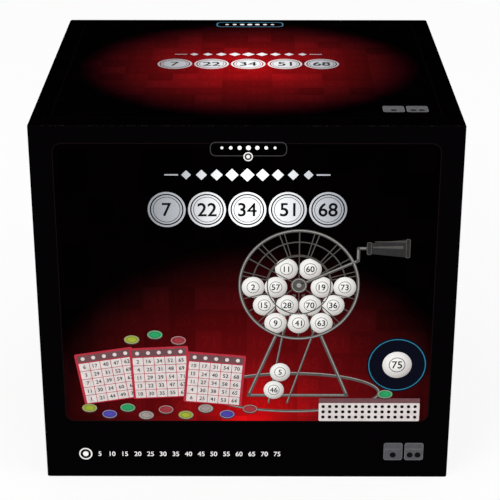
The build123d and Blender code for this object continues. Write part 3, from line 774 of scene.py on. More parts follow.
ink_teal = ink_finish("ink_badge_teal", paint(44, 118, 146))
ink_blue = ink_finish("ink_counter_blue", paint(70, 66, 158))
ink_green = ink_finish("ink_counter_green", paint(38, 150, 92))
ink_lime = ink_finish("ink_counter_lime", paint(146, 160, 52))
ink_rose = ink_finish("ink_counter_red", paint(150, 52, 60))
ink_clear = ink_finish("ink_counter_grey", paint(150, 142, 138))
ink_edge = ink_finish("ink_counter_edge", paint(62, 40, 40))
print("inks ready")

# %% [markdown]
# A printed ball has to look round on a flat face. Its finish is pale at its upper left and grey at
# its lower edge. Many balls share it, so it reads each ball's own UV map, which runs from 0 to 1
# across the ball, and not the place on the box.

# %% The finish of a printed ball
GLINT_PLACE = (0.38, 0.66)
BALL_STOPS = [
    (0.0, paint(232, 231, 229)),
    (0.30, paint(216, 215, 212)),
    (0.55, paint(186, 183, 180)),
    (0.78, paint(134, 128, 125)),
]
ball_print, ball_print_sockets = new_finish("ink_shaded_ball", specular=0.05)
flat_place = put(ball_print, "SeparateXYZ")
feed(ball_print, put(ball_print, "UVMap").outputs[0], flat_place.inputs[0])
glint_aside = minus(ball_print, flat_place.outputs[0], GLINT_PLACE[0])
glint_below = minus(ball_print, flat_place.outputs[1], GLINT_PLACE[1])
shaded = ramp(ball_print, reach_of(ball_print, glint_aside, glint_below), BALL_STOPS)
ball_speckle = between(ball_print, grain(ball_print, 900, 2.0), 0, 0.12)
ball_shade = mix(ball_print, ball_speckle, shaded, paint(176, 172, 170))
feed(ball_print, ball_shade, ball_print_sockets["Base Color"])
feed(ball_print, between(ball_print, grain(ball_print, 200), 0.4, 0.5), ball_print_sockets["Roughness"])
print("ball print has", len(BALL_STOPS), "shades")

# %% [markdown]
# A band of five numbered discs is the title of the box. It is drawn by a function, because the front,
# the top, the sides and the back all carry it. Below lies the black of the paper, so a disc is a broad
# silver rim, a thin gap that stays black, and a silver face with a black number. A row of lozenges
# that grow towards the middle, with a dash at each end, stands above the discs.

# %% The numbered discs
TITLE_NUMBERS = [7, 22, 34, 51, 68]
RIM_SHARE = 0.47
FACE_SHARE = 0.385
INNER_RING_SHARE = 0.34
NUMBER_SHARE = 0.36
TITLE_RIM = 1.3
TITLE_LINE = 0.35
LOZENGE_HEIGHT_SHARE = 0.92
LOZENGE_PITCH = 9.4
LOZENGE_SIZE = 6.3
LOZENGE_SHRINK = 0.5
DASH_START = 42.5
DASH_END = 51


def title_discs(name, matrix, centre, pitch, foil):
    """Prints the five numbered discs and a row of small lozenges above them."""
    silver = bmesh.new()
    black = bmesh.new()
    for place, value in enumerate(TITLE_NUMBERS):
        spot_on = (centre[0] + (place - 2) * pitch, centre[1])
        ring(silver, spot_on, pitch * RIM_SHARE, TITLE_RIM, 0, 64)
        disc(silver, spot_on, pitch * FACE_SHARE, 0, 64)
        ring(black, spot_on, pitch * INNER_RING_SHARE, TITLE_LINE, 1, 64)
        number(black, value, spot_on, pitch * NUMBER_SHARE, 1, 0, 6)
    height = centre[1] + pitch * LOZENGE_HEIGHT_SHARE
    for place in range(-4, 5):
        size = LOZENGE_SIZE - LOZENGE_SHRINK * abs(place)
        panel(silver, (centre[0] + place * LOZENGE_PITCH, height), size, size, 0.3, 0, 45)
    for way in (-1, 1):
        start = (centre[0] + way * DASH_START, height)
        end = (centre[0] + way * DASH_END, height)
        bar(silver, start, end, 0.9)
    print_on(name + "_title_silver", silver, foil, matrix)
    print_on(name + "_title_black", black, ink_black, matrix)


title_discs("front", FRONT, (0.4, 192.4), 25, reflection_foil_x)
title_discs("top", UPPER, (0.4, 7.2), 25, reflection_foil_x)
title_discs("left", LEFT, (0, 126), 24, reflection_foil_y)
title_discs("right", RIGHT, (0, 126), 24, reflection_foil_y)
title_discs("back", BACK, (0, 192.4), 25, reflection_foil_x)

# %% [markdown]
# A thin frame line, a little paler than the black of the paper, runs along the edges of each printed
# face. It is the outline of a panel with rounded corners.

# %% The frame lines
FRAME_CORNER = 6
FRAME_LINE = 0.45
for name, matrix, width, height, middle, finish in [
    ("front", FRONT, 238, 193.6, 139.2, ink_faint),
    ("top", UPPER, 242, 216, 0, ink_fainter),
    ("left", LEFT, 218, 220, 123.6, ink_fainter),
    ("right", RIGHT, 218, 220, 123.6, ink_fainter),
    ("back", BACK, 240, 220, 123.6, ink_fainter),
]:
    line = bmesh.new()
    border(line, (0, middle), width, height, FRAME_CORNER, FRAME_LINE)
    print_on(name + "_frame_line", line, finish, matrix)

# %% [markdown]
# A rounded pill stands above the title on the front, and another at the rear of the top. A row of
# small discs fills each, and the front's pill has a round mark on its lower edge.

# %% The pills
for name, matrix, centre, width, height, corner, line, finish in [
    ("front", FRONT, (1.1, 232.2), 47, 9.2, 3.4, 0.5, ink_pill),
    ("top", UPPER, (1.2, 108), 49.5, 13, 4.2, 1.0, ink_teal),
]:
    pill = bmesh.new()
    border(pill, centre, width, height, corner, line, 1)
    print_on(name + "_pill", pill, finish, matrix)

for name, matrix, height, pitch, size in [
    ("front", FRONT, 233, 5.4, 1.5),
    ("top", UPPER, 108, 5.6, 1.9),
]:
    pill_dots = bmesh.new()
    for step in range(-3, 4):
        disc(pill_dots, (1.1 + step * pitch, height), size - 0.2 * abs(step), 1, 24)
    print_on(name + "_pill_dots", pill_dots, reflection_foil_x, matrix)

MARK_PLACE = (0.9, 227.3)
mark = bmesh.new()
ring(mark, MARK_PLACE, 2.9, 0.7, 2, 32)
disc(mark, MARK_PLACE, 1.2, 2, 24)
print_on("front_pill_mark", mark, ink_white, FRONT)

# %% [markdown]
# Two small grey tabs sit side by side in the lower right corner of the front, the top and the back.
# Each has a pale edge, a thin line and one or two black discs, which all lie one coat above the grey.

# %% The tabs
TAB_GAP = 1.4
TAB_CORNER = 1.6
TAB_EDGE = 0.35
TAB_LINE = 0.45
TAB_LINE_SHARE = 0.86
TAB_LINE_RISE = 0.14
TAB_DISC = 2.0
TAB_DISC_DROP = 0.2
TAB_DISCS = [[0], [-2.6, 2.6]]
for name, matrix, low, wide, tall in [
    ("front", FRONT, (90.6, 13.2), 12.4, 13.0),
    ("top", UPPER, (84.8, -96.0), 13.4, 11.8),
    ("back", BACK, (90.6, 18), 12.4, 13.0),
]:
    fill = bmesh.new()
    edge = bmesh.new()
    dots = bmesh.new()
    for step, places in enumerate(TAB_DISCS):
        x = low[0] + wide / 2 + step * (wide + TAB_GAP)
        y = low[1] + tall / 2
        panel(fill, (x, y), wide, tall, TAB_CORNER)
        border(edge, (x, y), wide, tall, TAB_CORNER, TAB_EDGE, 1)
        panel(edge, (x, y + tall * TAB_LINE_RISE), wide * TAB_LINE_SHARE, TAB_LINE, 0, 1)
        for place in places:
            disc(dots, (x + place, y - tall * TAB_DISC_DROP), TAB_DISC, 1, 24)
    print_on(name + "_tabs", fill, ink_tab, matrix)
    print_on(name + "_tab_dots", dots, ink_black, matrix)
    print_on(name + "_tab_edges", edge, ink_tab_edge, matrix)

# %% [markdown]
# Below the picture the front is plain black. A row of small white numbers in steps of five, with a
# ring before it, gives that strip a fine line of print at its left. A loop spaces them evenly.

# %% The row of small numbers
ROW_HEIGHT = 17.6
ROW_START = -106
ROW_PITCH = 8.4
ROW_DIGIT = 3.5
ROW_MARK = (-107, ROW_HEIGHT)
small_row = bmesh.new()
ring(small_row, ROW_MARK, 4.4, 0.9, 0, 40)
disc(small_row, ROW_MARK, 1.9, 0, 28)
for step in range(1, 16):
    number(small_row, step * 5, (ROW_START + step * ROW_PITCH, ROW_HEIGHT), ROW_DIGIT, 0, 0, 4)
print_on("front_number_row", small_row, ink_white, FRONT)

# %% [markdown]
# The round badge lies at the right of the front. It is a dark disc with a thin ring of teal inside
# its edge. It lies three coats up, so that it covers what is printed below it.

# %% The badge
BADGE = (97.1, 84.4)
BADGE_RADIUS = 19.6
BADGE_RING = 18.6
badge = bmesh.new()
disc(badge, BADGE, BADGE_RADIUS, 3, 72)
print_on("badge_disc", badge, ink_navy, FRONT)
badge_line = bmesh.new()
ring(badge_line, BADGE, BADGE_RING, 0.6, 4, 72)
print_on("badge_ring", badge_line, ink_teal, FRONT)

# %% [markdown]
# A numbered ball fills the middle of the badge. The picture needs more such balls, so a function
# prints them. It gives each ball a UV map across its disc, because the ball's shading reads that map.

# %% The printed balls
BADGE_BALL = 9.5
BALL_CIRCLE_SHARE = 0.56
BALL_LINE_SHARE = 0.045
BALL_DIGIT_SHARE = 0.56


def chart_ball(faces, chart, x, y, radius):
    """Lays a UV map over the faces of one printed ball."""
    for face in faces:
        for loop in face.loops:
            aside = (loop.vert.co.x / MM - x) / radius
            rise = (loop.vert.co.y / MM - y) / radius
            loop[chart].uv = (aside / 2 + 0.5, rise / 2 + 0.5)


def printed_balls(name, places, level):
    """Prints shaded balls with numbers. Each place is (x, y, radius, number)."""
    shape = bmesh.new()
    chart = shape.loops.layers.uv.new("ball_chart")
    black = bmesh.new()
    for x, y, radius, value in places:
        known = set(shape.faces)
        disc(shape, (x, y), radius, level, 36)
        chart_ball([face for face in shape.faces if face not in known], chart, x, y, radius)
        circle = radius * BALL_CIRCLE_SHARE
        ring(black, (x, y), circle, radius * BALL_LINE_SHARE, level + 1, 28)
        number(black, value, (x, y), radius * BALL_DIGIT_SHARE, level + 1, 0, 4)
    print_on(name, shape, ball_print, FRONT)
    print_on(name + "_numbers", black, ink_black, FRONT)


printed_balls("badge_ball", [(*BADGE, BADGE_BALL, 75)], 4)

# %% [markdown]
# The picture on the front is a simple drawing of a ball cage seen from its end. Modelled wires would
# stand out of the paper, so a wire is a dark line with a thin pale line on it, which reads as a round
# rod. Lines that cross lie on different coats of ink, because two faces in exactly the same place
# would fight for the light and come out black.

# %% Draw wires
CAGE = (33.0, 141.0)
CAGE_RADIUS = 38.4
STAND_LINE = 2.2
TRACK_LINE = 1.3
CRANK_LINE = 2.0
LIGHT_WIDTH = 0.26
LIGHT_ASIDE = 0.14
LIGHT_INSET = 0.7


def wire_line(dark, pale, start, end, width, level):
    """Draws a wire: a dark line, and on it a thin line of light a little off its middle."""
    bar(dark, start, end, width, level)
    run = (Vector(end) - Vector(start)).normalized()
    aside = Vector((-run.y, run.x)) * width * LIGHT_ASIDE
    if aside.y < 0:
        aside = -aside
    inner = run * width * LIGHT_INSET
    light_from = Vector(start) + inner + aside
    light_to = Vector(end) - inner + aside
    bar(pale, light_from[:], light_to[:], width * LIGHT_WIDTH, level + 1)


def spokes(shape, angles, inner, outer, width, level):
    """Draws straight lines outwards from the middle of the cage."""
    for angle in angles:
        way = Vector((cos(radians(angle)), sin(radians(angle))))
        start = Vector(CAGE) + way * inner
        end = Vector(CAGE) + way * outer
        bar(shape, start[:], end[:], width, level)


print("a wire of the stand is", STAND_LINE, "mm wide in the picture")

# %% [markdown]
# The stand of the picture is two legs and a bar, on a wide loop that lies on the table and so looks
# like a flat oval. Two thin wires lead out of the cage as its ball track. They are printed first,
# with the rear rings and ribs of the cage, because the balls hide parts of them.

# %% Wires behind the balls
LOOP_SQUASH = 0.26
LOOP_RADIUS = 57
FOOT_SPREAD = 32
FOOT_HEIGHT = 62
LEG_START = 7
REAR_RINGS = (12, 21, 30)
TRACK_WIRES = [((24, 112), (14, 56)), ((44, 112), (26, 56))]
behind = bmesh.new()
behind_light = bmesh.new()
ring(behind, (30, 64), LOOP_RADIUS, 2.0, 0, 96, LOOP_SQUASH)
ring(behind_light, (30, 64.3), LOOP_RADIUS - 0.7, 0.5, 1, 96, LOOP_SQUASH)
for radius in REAR_RINGS:
    ring(behind, CAGE, radius, 0.8, 0, 72)
spokes(behind, range(10, 370, 20), 11.5, 37.5, 0.7, 1)
left_foot = (CAGE[0] - FOOT_SPREAD, FOOT_HEIGHT)
right_foot = (CAGE[0] + FOOT_SPREAD, FOOT_HEIGHT)
for foot in (left_foot, right_foot):
    hip = Vector(CAGE) + (Vector(foot) - Vector(CAGE)).normalized() * LEG_START
    wire_line(behind, behind_light, hip[:], foot, STAND_LINE, 2)
    disc(behind, foot, STAND_LINE / 2, 6, 16)
wire_line(behind, behind_light, left_foot, right_foot, STAND_LINE, 4)
for start, end in TRACK_WIRES:
    wire_line(behind, behind_light, start, end, TRACK_LINE, 6)
print_on("print_cage_behind", behind, ink_wire, FRONT)
print_on("print_cage_behind_light", behind_light, ink_wire_pale, FRONT)

# %% [markdown]
# The balls of the picture lie in rows, each row shifted by half a ball, as a real pile would. Two
# more have left the cage and wait on the track. One call prints them all. The hub takes the place of
# a ball in the middle.

# %% Balls of the picture
PRINT_BALL_RADIUS = 7.2
TRACK_BALL_RADIUS = 6.6
BALL_ROWS = [
    (-26.6, (-14.6, 0, 14.6)),
    (-14.0, (-21.9, -7.3, 7.3, 21.9)),
    (-1.4, (-29, -14.6, 14.6, 29)),
    (11.2, (-8, 7)),
]
PRINT_NUMBERS = [9, 41, 63, 15, 28, 70, 36, 2, 57, 19, 73, 11, 60]
cage_balls = []
for rise, offsets in BALL_ROWS:
    for aside in offsets:
        value = PRINT_NUMBERS[len(cage_balls)]
        cage_balls.append((CAGE[0] + aside, CAGE[1] + rise, PRINT_BALL_RADIUS, value))
cage_balls.append((17.5, 66.0, TRACK_BALL_RADIUS, 46))
cage_balls.append((21.5, 79.0, TRACK_BALL_RADIUS, 5))
printed_balls("print_balls", cage_balls, 8)

# %% [markdown]
# The near side of the cage is printed over the balls: its outer ring, thin ribs and the round hub.
# The crank starts at the hub and bends up to its handle. The short ribs leave the crank's way free.

# %% Wires, hub and crank in front of the balls
ELBOW = (70, 158)
HANDLE_HEIGHT = 166.4
before = bmesh.new()
before_light = bmesh.new()
spokes(before, range(15, 375, 30), 20, 37.2, 0.6, 10)
spokes(before, (90, 150, 216, 270, 324), 4.6, 20, 0.6, 10)
ring(before, CAGE, 20.4, 0.7, 11, 72)
ring(before, CAGE, CAGE_RADIUS, 1.9, 11, 96)
ring(before_light, CAGE, CAGE_RADIUS - 0.5, 0.6, 12, 96)
wire_line(before, before_light, CAGE, ELBOW, CRANK_LINE, 11)
disc(before, CAGE, 5.2, 12, 40)
disc(before, ELBOW, CRANK_LINE / 2, 12, 16)
turn_up = (ELBOW[0], HANDLE_HEIGHT + 0.4)
wire_line(before, before_light, (ELBOW[0], ELBOW[1] - 0.4), turn_up, CRANK_LINE, 9)
wire_line(before, before_light, (69.4, HANDLE_HEIGHT), (76, HANDLE_HEIGHT), CRANK_LINE, 7)
disc(before, (ELBOW[0], HANDLE_HEIGHT), CRANK_LINE / 2, 12, 16)
ring(before_light, CAGE, 4.6, 0.5, 13, 40)
disc(before_light, CAGE, 1.5, 13, 24)
print_on("print_cage_before", before, ink_wire, FRONT)
print_on("print_cage_before_light", before_light, ink_wire_pale, FRONT)

# %% [markdown]
# The handle of the drawing widens towards its free end. A flat face gives it: the corners at one end
# are pushed apart before the corners are rounded. Pale lines along it show its gloss.

# %% The handle of the picture
def tapered_face(shape, start, end, near, far, middle, level, round_off):
    """Draws a panel that is near high at its start and far high at its end."""
    face = sheet_face(shape, ((start + end) / 2, middle), end - start, 1, 0, level, 0)
    for corner in face.verts:
        high = near if corner.co.x < (start + end) / 2 * MM else far
        corner.co.y = (middle + (high / 2 if corner.co.y > middle * MM else -high / 2)) * MM
    rounded = bmesh.ops.bevel(
        shape, geom=list(face.verts), offset=round_off * MM, affect="VERTICES", segments=4,
        profile=0.5, material=-1, clamp_overlap=True,
    )
    lift(shape, [rounded["verts"][0].link_faces[0]])


handle = bmesh.new()
handle_light = bmesh.new()
tapered_face(handle, 77, 101, 7.2, 12.4, HANDLE_HEIGHT, 8, 1.0)
tapered_face(handle_light, 79, 98, 0.9, 2.0, HANDLE_HEIGHT + 0.8, 9, 0.3)
tapered_face(handle_light, 80, 99.5, 0.4, 0.7, HANDLE_HEIGHT + 4.6, 9, 0.1)
tapered_face(handle, 75.2, 78.2, 8.6, 8.6, HANDLE_HEIGHT, 10, 0.8)
border(handle_light, (76.7, HANDLE_HEIGHT), 3.0, 8.6, 0.8, 0.4, 11)
tapered_face(handle, 99.6, 102.4, 13.2, 12.6, HANDLE_HEIGHT, 10, 0.9)
border(handle_light, (101, HANDLE_HEIGHT), 2.8, 12.8, 0.9, 0.4, 11)
print_on("print_handle", handle, ink_grip, FRONT)
print_on("print_handle_light", handle_light, ink_wire, FRONT)

# %% [markdown]
# Three bingo cards stand at the left. A card is a red panel, a grey strip for its head, and white
# cells that leave thin red lines between them. The numbers follow the rule of the game: each column
# takes its five numbers from its own fifteen. A card lies three coats above the one before it, so
# that their edges can overlap.

# %% The printed cards
PRINT_CARD_PLACES = [(-90, 76, 9), (-56, 78.5, 3), (-21, 74, -5)]
PRINT_CARD_HEAD = 14.6
PRINT_CELL_PITCH = 7.0
PRINT_ROW_PITCH = 5.9
PRINT_FIRST_ROW = 8.6
PRINT_CARD_WIDTH = 38
PRINT_CARD_HEIGHT = 37
PRINT_DIGIT = 2.7
random.seed(7)


def card_numbers():
    """Gives the five columns of one card."""
    return [random.sample(range(column * 15 + 1, column * 15 + 16), 5) for column in range(5)]


card_red = bmesh.new()
card_head = bmesh.new()
card_cells = bmesh.new()
card_print = bmesh.new()
for order, (x, y, turn) in enumerate(PRINT_CARD_PLACES):
    base = order * 3
    panel(card_red, (x, y), PRINT_CARD_WIDTH, PRINT_CARD_HEIGHT, 1.2, base, turn)
    spin = Matrix.Rotation(radians(turn), 2)
    head = Vector((x, y)) + spin @ Vector((0, PRINT_CARD_HEAD))
    panel(card_head, head[:], 35, 5.0, 0.4, base + 1, turn)
    for column in range(5):
        aside = (column - 2) * PRINT_CELL_PITCH
        dot = Vector((x, y)) + spin @ Vector((aside, PRINT_CARD_HEAD))
        disc(card_cells, dot[:], 1.3, base + 2, 20)
    for column, values in enumerate(card_numbers()):
        aside = (column - 2) * PRINT_CELL_PITCH
        for row, value in enumerate(values):
            cell = Vector((x, y)) + spin @ Vector((aside, PRINT_FIRST_ROW - row * PRINT_ROW_PITCH))
            panel(card_cells, cell[:], 6.6, 5.5, 0.2, base + 1, turn)
            number(card_print, value, cell[:], PRINT_DIGIT, base + 2, turn)
print_on("print_card_red", card_red, ink_red, FRONT)
print_on("print_card_heads", card_head, ink_header, FRONT)
print_on("print_card_cells", card_cells, ink_card, FRONT)
print_on("print_card_numbers", card_print, ink_black, FRONT)

# %% [markdown]
# Loose counters in five colours lie along the foot of the picture. As they lie flat, each is drawn as
# an oval: its edge lies a little lower than its top, and a pale line runs round the top.

# %% The printed counters
OVAL_SQUASH = 0.62
COUNTER_RADIUS = 4.9
COUNTERS = [
    (-103, 52.5, "lime"), (-90, 48.0, "blue"), (-78, 52.8, "green"), (-66, 47.2, "grey"),
    (-53, 51.4, "red"), (-40, 47.4, "lime"), (-27, 52.2, "grey"), (-13, 48.0, "blue"),
    (2, 52.0, "red"), (90, 63.0, "green"), (-74, 102.5, "lime"), (-59, 106.0, "green"),
    (-44, 102.0, "red"),
]
COUNTER_INKS = {
    "lime": ink_lime,
    "blue": ink_blue,
    "green": ink_green,
    "grey": ink_clear,
    "red": ink_rose,
}
rims = bmesh.new()
edges = bmesh.new()
for colour, finish in COUNTER_INKS.items():
    dots = bmesh.new()
    for x, y, shade in COUNTERS:
        if shade == colour:
            disc(edges, (x, y - 0.8), COUNTER_RADIUS, 9, 32, OVAL_SQUASH)
            disc(dots, (x, y), COUNTER_RADIUS, 10, 32, OVAL_SQUASH)
            ring(rims, (x, y), COUNTER_RADIUS - 0.2, 0.4, 11, 32, OVAL_SQUASH)
            ring(edges, (x, y), 3.3, 0.2, 11, 32, OVAL_SQUASH)
    print_on("print_counters_" + colour, dots, finish, FRONT)
print_on("print_counter_rims", rims, ink_clear, FRONT)
print_on("print_counter_edges", edges, ink_edge, FRONT)

# %% [markdown]
# A strip of a calling board fills the lower right corner of the picture. It is a white panel with a
# grey head and three rows of black holes. The holes are plain discs, because a print has no depth.

# %% The printed board
BOARD_MIDDLE = 80
BOARD_WIDTH = 66
PRINT_HOLE = 1.15
PRINT_HOLE_PITCH = (4.3, 3.9)
PRINT_HOLE_TOP = 53.6
board_white = bmesh.new()
board_head = bmesh.new()
board_dots = bmesh.new()
panel(board_white, (BOARD_MIDDLE, 49.6), BOARD_WIDTH, 13.6, 1.0, 2)
panel(board_head, (BOARD_MIDDLE, 58.0), BOARD_WIDTH, 3.6, 0.5, 3)
for column in range(15):
    x = BOARD_MIDDLE + (column - 7) * PRINT_HOLE_PITCH[0]
    for row in range(3):
        disc(board_dots, (x, PRINT_HOLE_TOP - row * PRINT_HOLE_PITCH[1]), PRINT_HOLE, 3, 20)
print_on("print_board_white", board_white, ink_card, FRONT)
print_on("print_board_head", board_head, ink_header, FRONT)
print_on("print_board_holes", board_dots, ink_black, FRONT)

# %% [markdown]
# Each tile of the glow has a ghost of a number on it, only a little brighter than the tile. The ghost
# ink uses the same colour as the paper, made stronger, so it fades out with the glow.

# %% The ghost numbers
GHOST_STRENGTH = 1.2
GHOST_DIGIT = 8.2
GHOST_LEVEL = -0.6
ghost, ghost_sockets = new_finish("ink_ghost_number", specular=0.0)
stronger = put(ghost, "VectorMath", operation="SCALE")
feed(ghost, printed_colour(ghost), stronger.inputs[0])
stronger.inputs["Scale"].default_value = GHOST_STRENGTH
feed(ghost, stronger.outputs[0], ghost_sockets["Base Color"])
feed(ghost, between(ghost, grain(ghost, 60), 0.42, 0.52), ghost_sockets["Roughness"])
random.seed(21)


def ghost_numbers(name, matrix, columns, rows):
    """Prints a number on the middle of each tile in a range of columns and rows."""
    shape = bmesh.new()
    for column in columns:
        for row in rows:
            x = (column + 0.5) * TILE_ACROSS / MM
            y = (row + 0.5) * TILE_UP / MM
            number(shape, random.randint(1, 75), (x, y), GHOST_DIGIT, GHOST_LEVEL)
    print_on(name, shape, ghost, matrix)


ghost_numbers("ghost_numbers_front", FRONT, range(-7, 7), range(3, 10))
ghost_numbers("ghost_numbers_top", UPPER, range(-6, 6), range(-6, 6))

# %% [markdown]
# The back of the box carries a plain chart of the numbers 1 to 75 in five rows, which is what the
# caller of a bingo game ticks off. Dividing a number by the length of a row gives its row, and the
# rest gives its column.

# %% The chart on the back
CHART_ROW = 15
CHART_PITCH_ACROSS = 14.2
CHART_PITCH_UP = 17.5
CHART_TOP_ROW = 132
CHART_CELL = (13.2, 16.2)
CHART_DIGIT = 5.6
chart_lines = bmesh.new()
chart_numbers = bmesh.new()
for place in range(75):
    row, column = divmod(place, CHART_ROW)
    x = (column - 7) * CHART_PITCH_ACROSS
    y = CHART_TOP_ROW - row * CHART_PITCH_UP
    border(chart_lines, (x, y), *CHART_CELL, 1.6, 0.35)
    number(chart_numbers, place + 1, (x, y), CHART_DIGIT)
print_on("back_chart_lines", chart_lines, ink_tab, BACK)
print_on("back_chart_numbers", chart_numbers, reflection_foil_x, BACK)

# %% [markdown]
# The tray is greyboard under black paper. The pad and the pocket boards inside it are brown corrugated
# board. Such board shows short fibres and a few dark flecks on its face, and the wave of its core
# shows through as shallow stripes. A sine of the place gives the stripes.

# %% Boards of the tray
FLUTE_PITCH = 6.5 * MM
tray_paper, tray_sockets = new_finish("tray_black_paper", specular=0.08)
wear(tray_paper, tray_sockets, paint(16, 15, 17), paint(26, 24, 26), 140, (0.5, 0.7), 0.02 * MM)
dress(tray_paper, "tray_base")

kraft, kraft_sockets = new_finish("brown_corrugated_board", specular=0.2)
fibre = grain(kraft, 520, 5.0)
fleck_share = times(kraft, above(kraft, grain(kraft, 1300, 2.0), 0.66), 0.35)
brown = mix(kraft, between(kraft, fibre, 0, 1), paint(164, 128, 88), paint(186, 150, 108))
feed(kraft, mix(kraft, fleck_share, brown, paint(122, 90, 60)), kraft_sockets["Base Color"])
feed(kraft, between(kraft, fibre, 0.78, 0.95), kraft_sockets["Roughness"])
flute = calc(kraft, "SINE", times(kraft, spot(kraft)[0], 2 * pi / FLUTE_PITCH))
relief(kraft, plus(kraft, times(kraft, flute, 0.3), fibre), 0.03 * MM)
dress(kraft, "floor_pad", "pocket_divider", "pocket_partition")

# %% [markdown]
# The cage is steel wire under satin black enamel. In thin places of the enamel the steel shimmers
# through, and it has small specks of dust. The wires share one function, with a little more or less
# grey for the drum, the stand and the stamped sheets.

# %% Wire and sheet enamels
DRUM_WIRES = [name for name in nodes if name.startswith(("main_ring", "end_ring", "rib_wire"))]
STAND_WIRES = [name for name in nodes if name.startswith(("side_bar", "track_"))]
STAND_WIRES += ["front_leg_frame", "rear_leg_frame", "foot_wire"]
STAMPED_SHEETS = ["hub_left", "hub_right", "ball_cup", "bearing_plate_left", "bearing_plate_right"]


def enamel(name, dark, light, scale, depth):
    """Satin enamel on steel, with thin places and specks."""
    finish, sockets = new_finish(name, metallic=0.55, specular=0.5, coat=0.25)
    thin = between(finish, grain(finish, scale, 4.0), 0, 1, 0.35, 0.7)
    speck_share = times(finish, above(finish, grain(finish, scale * 9, 1.0), 0.72), 0.5)
    colour = mix(finish, thin, dark, light)
    feed(finish, mix(finish, speck_share, colour, paint(120, 118, 114)), sockets["Base Color"])
    feed(finish, between(finish, grain(finish, scale * 3), 0.26, 0.42), sockets["Roughness"])
    relief(finish, grain(finish, scale * 5, 3.0), depth)
    return finish


cage_enamel = enamel("cage_wire_enamel", paint(40, 40, 42), paint(74, 73, 72), 190, 0.03 * MM)
stand_enamel = enamel("stand_wire_enamel", paint(36, 36, 38), paint(66, 65, 64), 150, 0.03 * MM)
sheet_enamel = enamel("stamped_sheet_enamel", paint(46, 46, 48), paint(80, 79, 78), 120, 0.02 * MM)
dress(cage_enamel, *DRUM_WIRES)
dress(stand_enamel, "crank_rod", *STAND_WIRES)
dress(sheet_enamel, *STAMPED_SHEETS)

# %% [markdown]
# The axle pin is bright steel, and the grip's ferrule and cap are blackened steel. All three are
# turned from drawn bar, which keeps fine streaks along its length. A noise that is stretched along the
# axle gives such streaks. The grip itself is glossy black under a clear coat.

# %% Fittings and grip
ALONG_AXLE = (0.12, 1, 1)
steel, steel_sockets = new_finish("bright_turned_steel", metallic=1.0)
steel_dark = paint(150, 150, 154)
steel_light = paint(196, 196, 200)
wear(steel, steel_sockets, steel_dark, steel_light, 300, (0.18, 0.34), 0.01 * MM, ALONG_AXLE)
dress(steel, "axle_pin")

fitting, fitting_sockets = new_finish("blackened_steel_fitting", metallic=0.9, coat=0.2)
fitting_dark = paint(62, 61, 60)
fitting_light = paint(112, 110, 107)
wear(
    fitting, fitting_sockets, fitting_dark, fitting_light, 260, (0.2, 0.36), 0.01 * MM, ALONG_AXLE,
)
dress(fitting, "grip_ferrule", "grip_cap")

grip_gloss, grip_sockets = new_finish("grip_gloss_black", specular=0.5, coat=0.6)
wear(grip_gloss, grip_sockets, paint(18, 15, 15), paint(34, 29, 28), 90, (0.16, 0.3), 0.02 * MM)
dress(grip_gloss, "crank_grip")

# %% [markdown]
# A spot weld squeezes a small bead of steel out where two wires cross. The crossings of the drum
# follow from the boxes of the rings and from the six directions of the ribs. Each bead is an
# icosphere with few faces, stretched and turned a little, because there are many of them.

# %% Weld beads of the drum
WIRE_ACROSS = 2.4 * MM
DRUM_BEAD = 1.25 * MM
END_RING_RISE = 0.12
END_RING_LEAN = 0.48
RIB_ANGLES = [30 + 60 * step for step in range(6)]
random.seed(5)
hub_low, hub_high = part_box("hub_left")
AXIS_Y = (hub_low.y + hub_high.y) / 2
AXIS_Z = (hub_low.z + hub_high.z) / 2


def bead(shape, place, size):
    """Adds one bead of weld metal, each a little different."""
    stretch = Matrix.Diagonal([size * random.uniform(0.85, 1.15) for axis in range(3)]).to_4x4()
    spin = Matrix.Rotation(random.uniform(0, pi), 4, "X")
    whole = Matrix.Translation(place) @ spin @ stretch
    bmesh.ops.create_icosphere(shape, subdivisions=1, radius=1, matrix=whole)


drum_beads = bmesh.new()
crossings = 0
for name in DRUM_WIRES:
    if name.startswith("rib_wire"):
        continue
    low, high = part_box(name)
    x = (low.x + high.x) / 2
    radius = (high.z - low.z) / 2
    if name.startswith("main_ring"):
        outward = radius
        lean = 0
    else:
        outward = radius - WIRE_ACROSS / 2 + WIRE_ACROSS * END_RING_RISE
        lean = WIRE_ACROSS * END_RING_LEAN * (1 if "right" in name else -1)
    for angle in RIB_ANGLES:
        y = AXIS_Y + cos(radians(angle)) * outward
        z = AXIS_Z + sin(radians(angle)) * outward
        bead(drum_beads, (x + lean, y, z), DRUM_BEAD)
        crossings += 1
piece_from("drum_weld_beads", drum_beads, cage_enamel, "drum", smooth=True)
print("weld beads on the drum", crossings)

# %% [markdown]
# The stand has fewer welds: one at each end of its two side bars, and one where each wire of the ball
# track meets the rear bar. Their places come from the boxes of those wires.

# %% Weld beads of the stand
BASE_RISE = 2 * MM
TRACK_RISE = 2.2 * MM
BAR_BEAD = 2.1 * MM
TRACK_BEAD = 1.6 * MM
stand_beads = bmesh.new()
base_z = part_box("foot_wire")[0].z + BASE_RISE
for name in ("side_bar_left", "side_bar_right"):
    low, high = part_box(name)
    for y in (low.y, high.y):
        bead(stand_beads, ((low.x + high.x) / 2, y, base_z), BAR_BEAD)
for name in ("track_wire_left", "track_wire_right", "track_guide_left", "track_guide_right"):
    low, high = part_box(name)
    x = (low.x + high.x) / 2
    if "guide" in name:
        x = high.x - WIRE_ACROSS / 2 if "right" in name else low.x + WIRE_ACROSS / 2
    bead(stand_beads, (x, high.y - WIRE_ACROSS / 2, base_z + TRACK_RISE), TRACK_BEAD)
piece_from("stand_weld_beads", stand_beads, stand_enamel, "stand", smooth=True)

# %% [markdown]
# The balls of the CAD model are plain. They are replaced by better ones, in the same places. The
# places are read from the CAD solids: a copy of their mesh is merged first, because its triangles are
# loose, and then each group of corners that hang together is one ball.

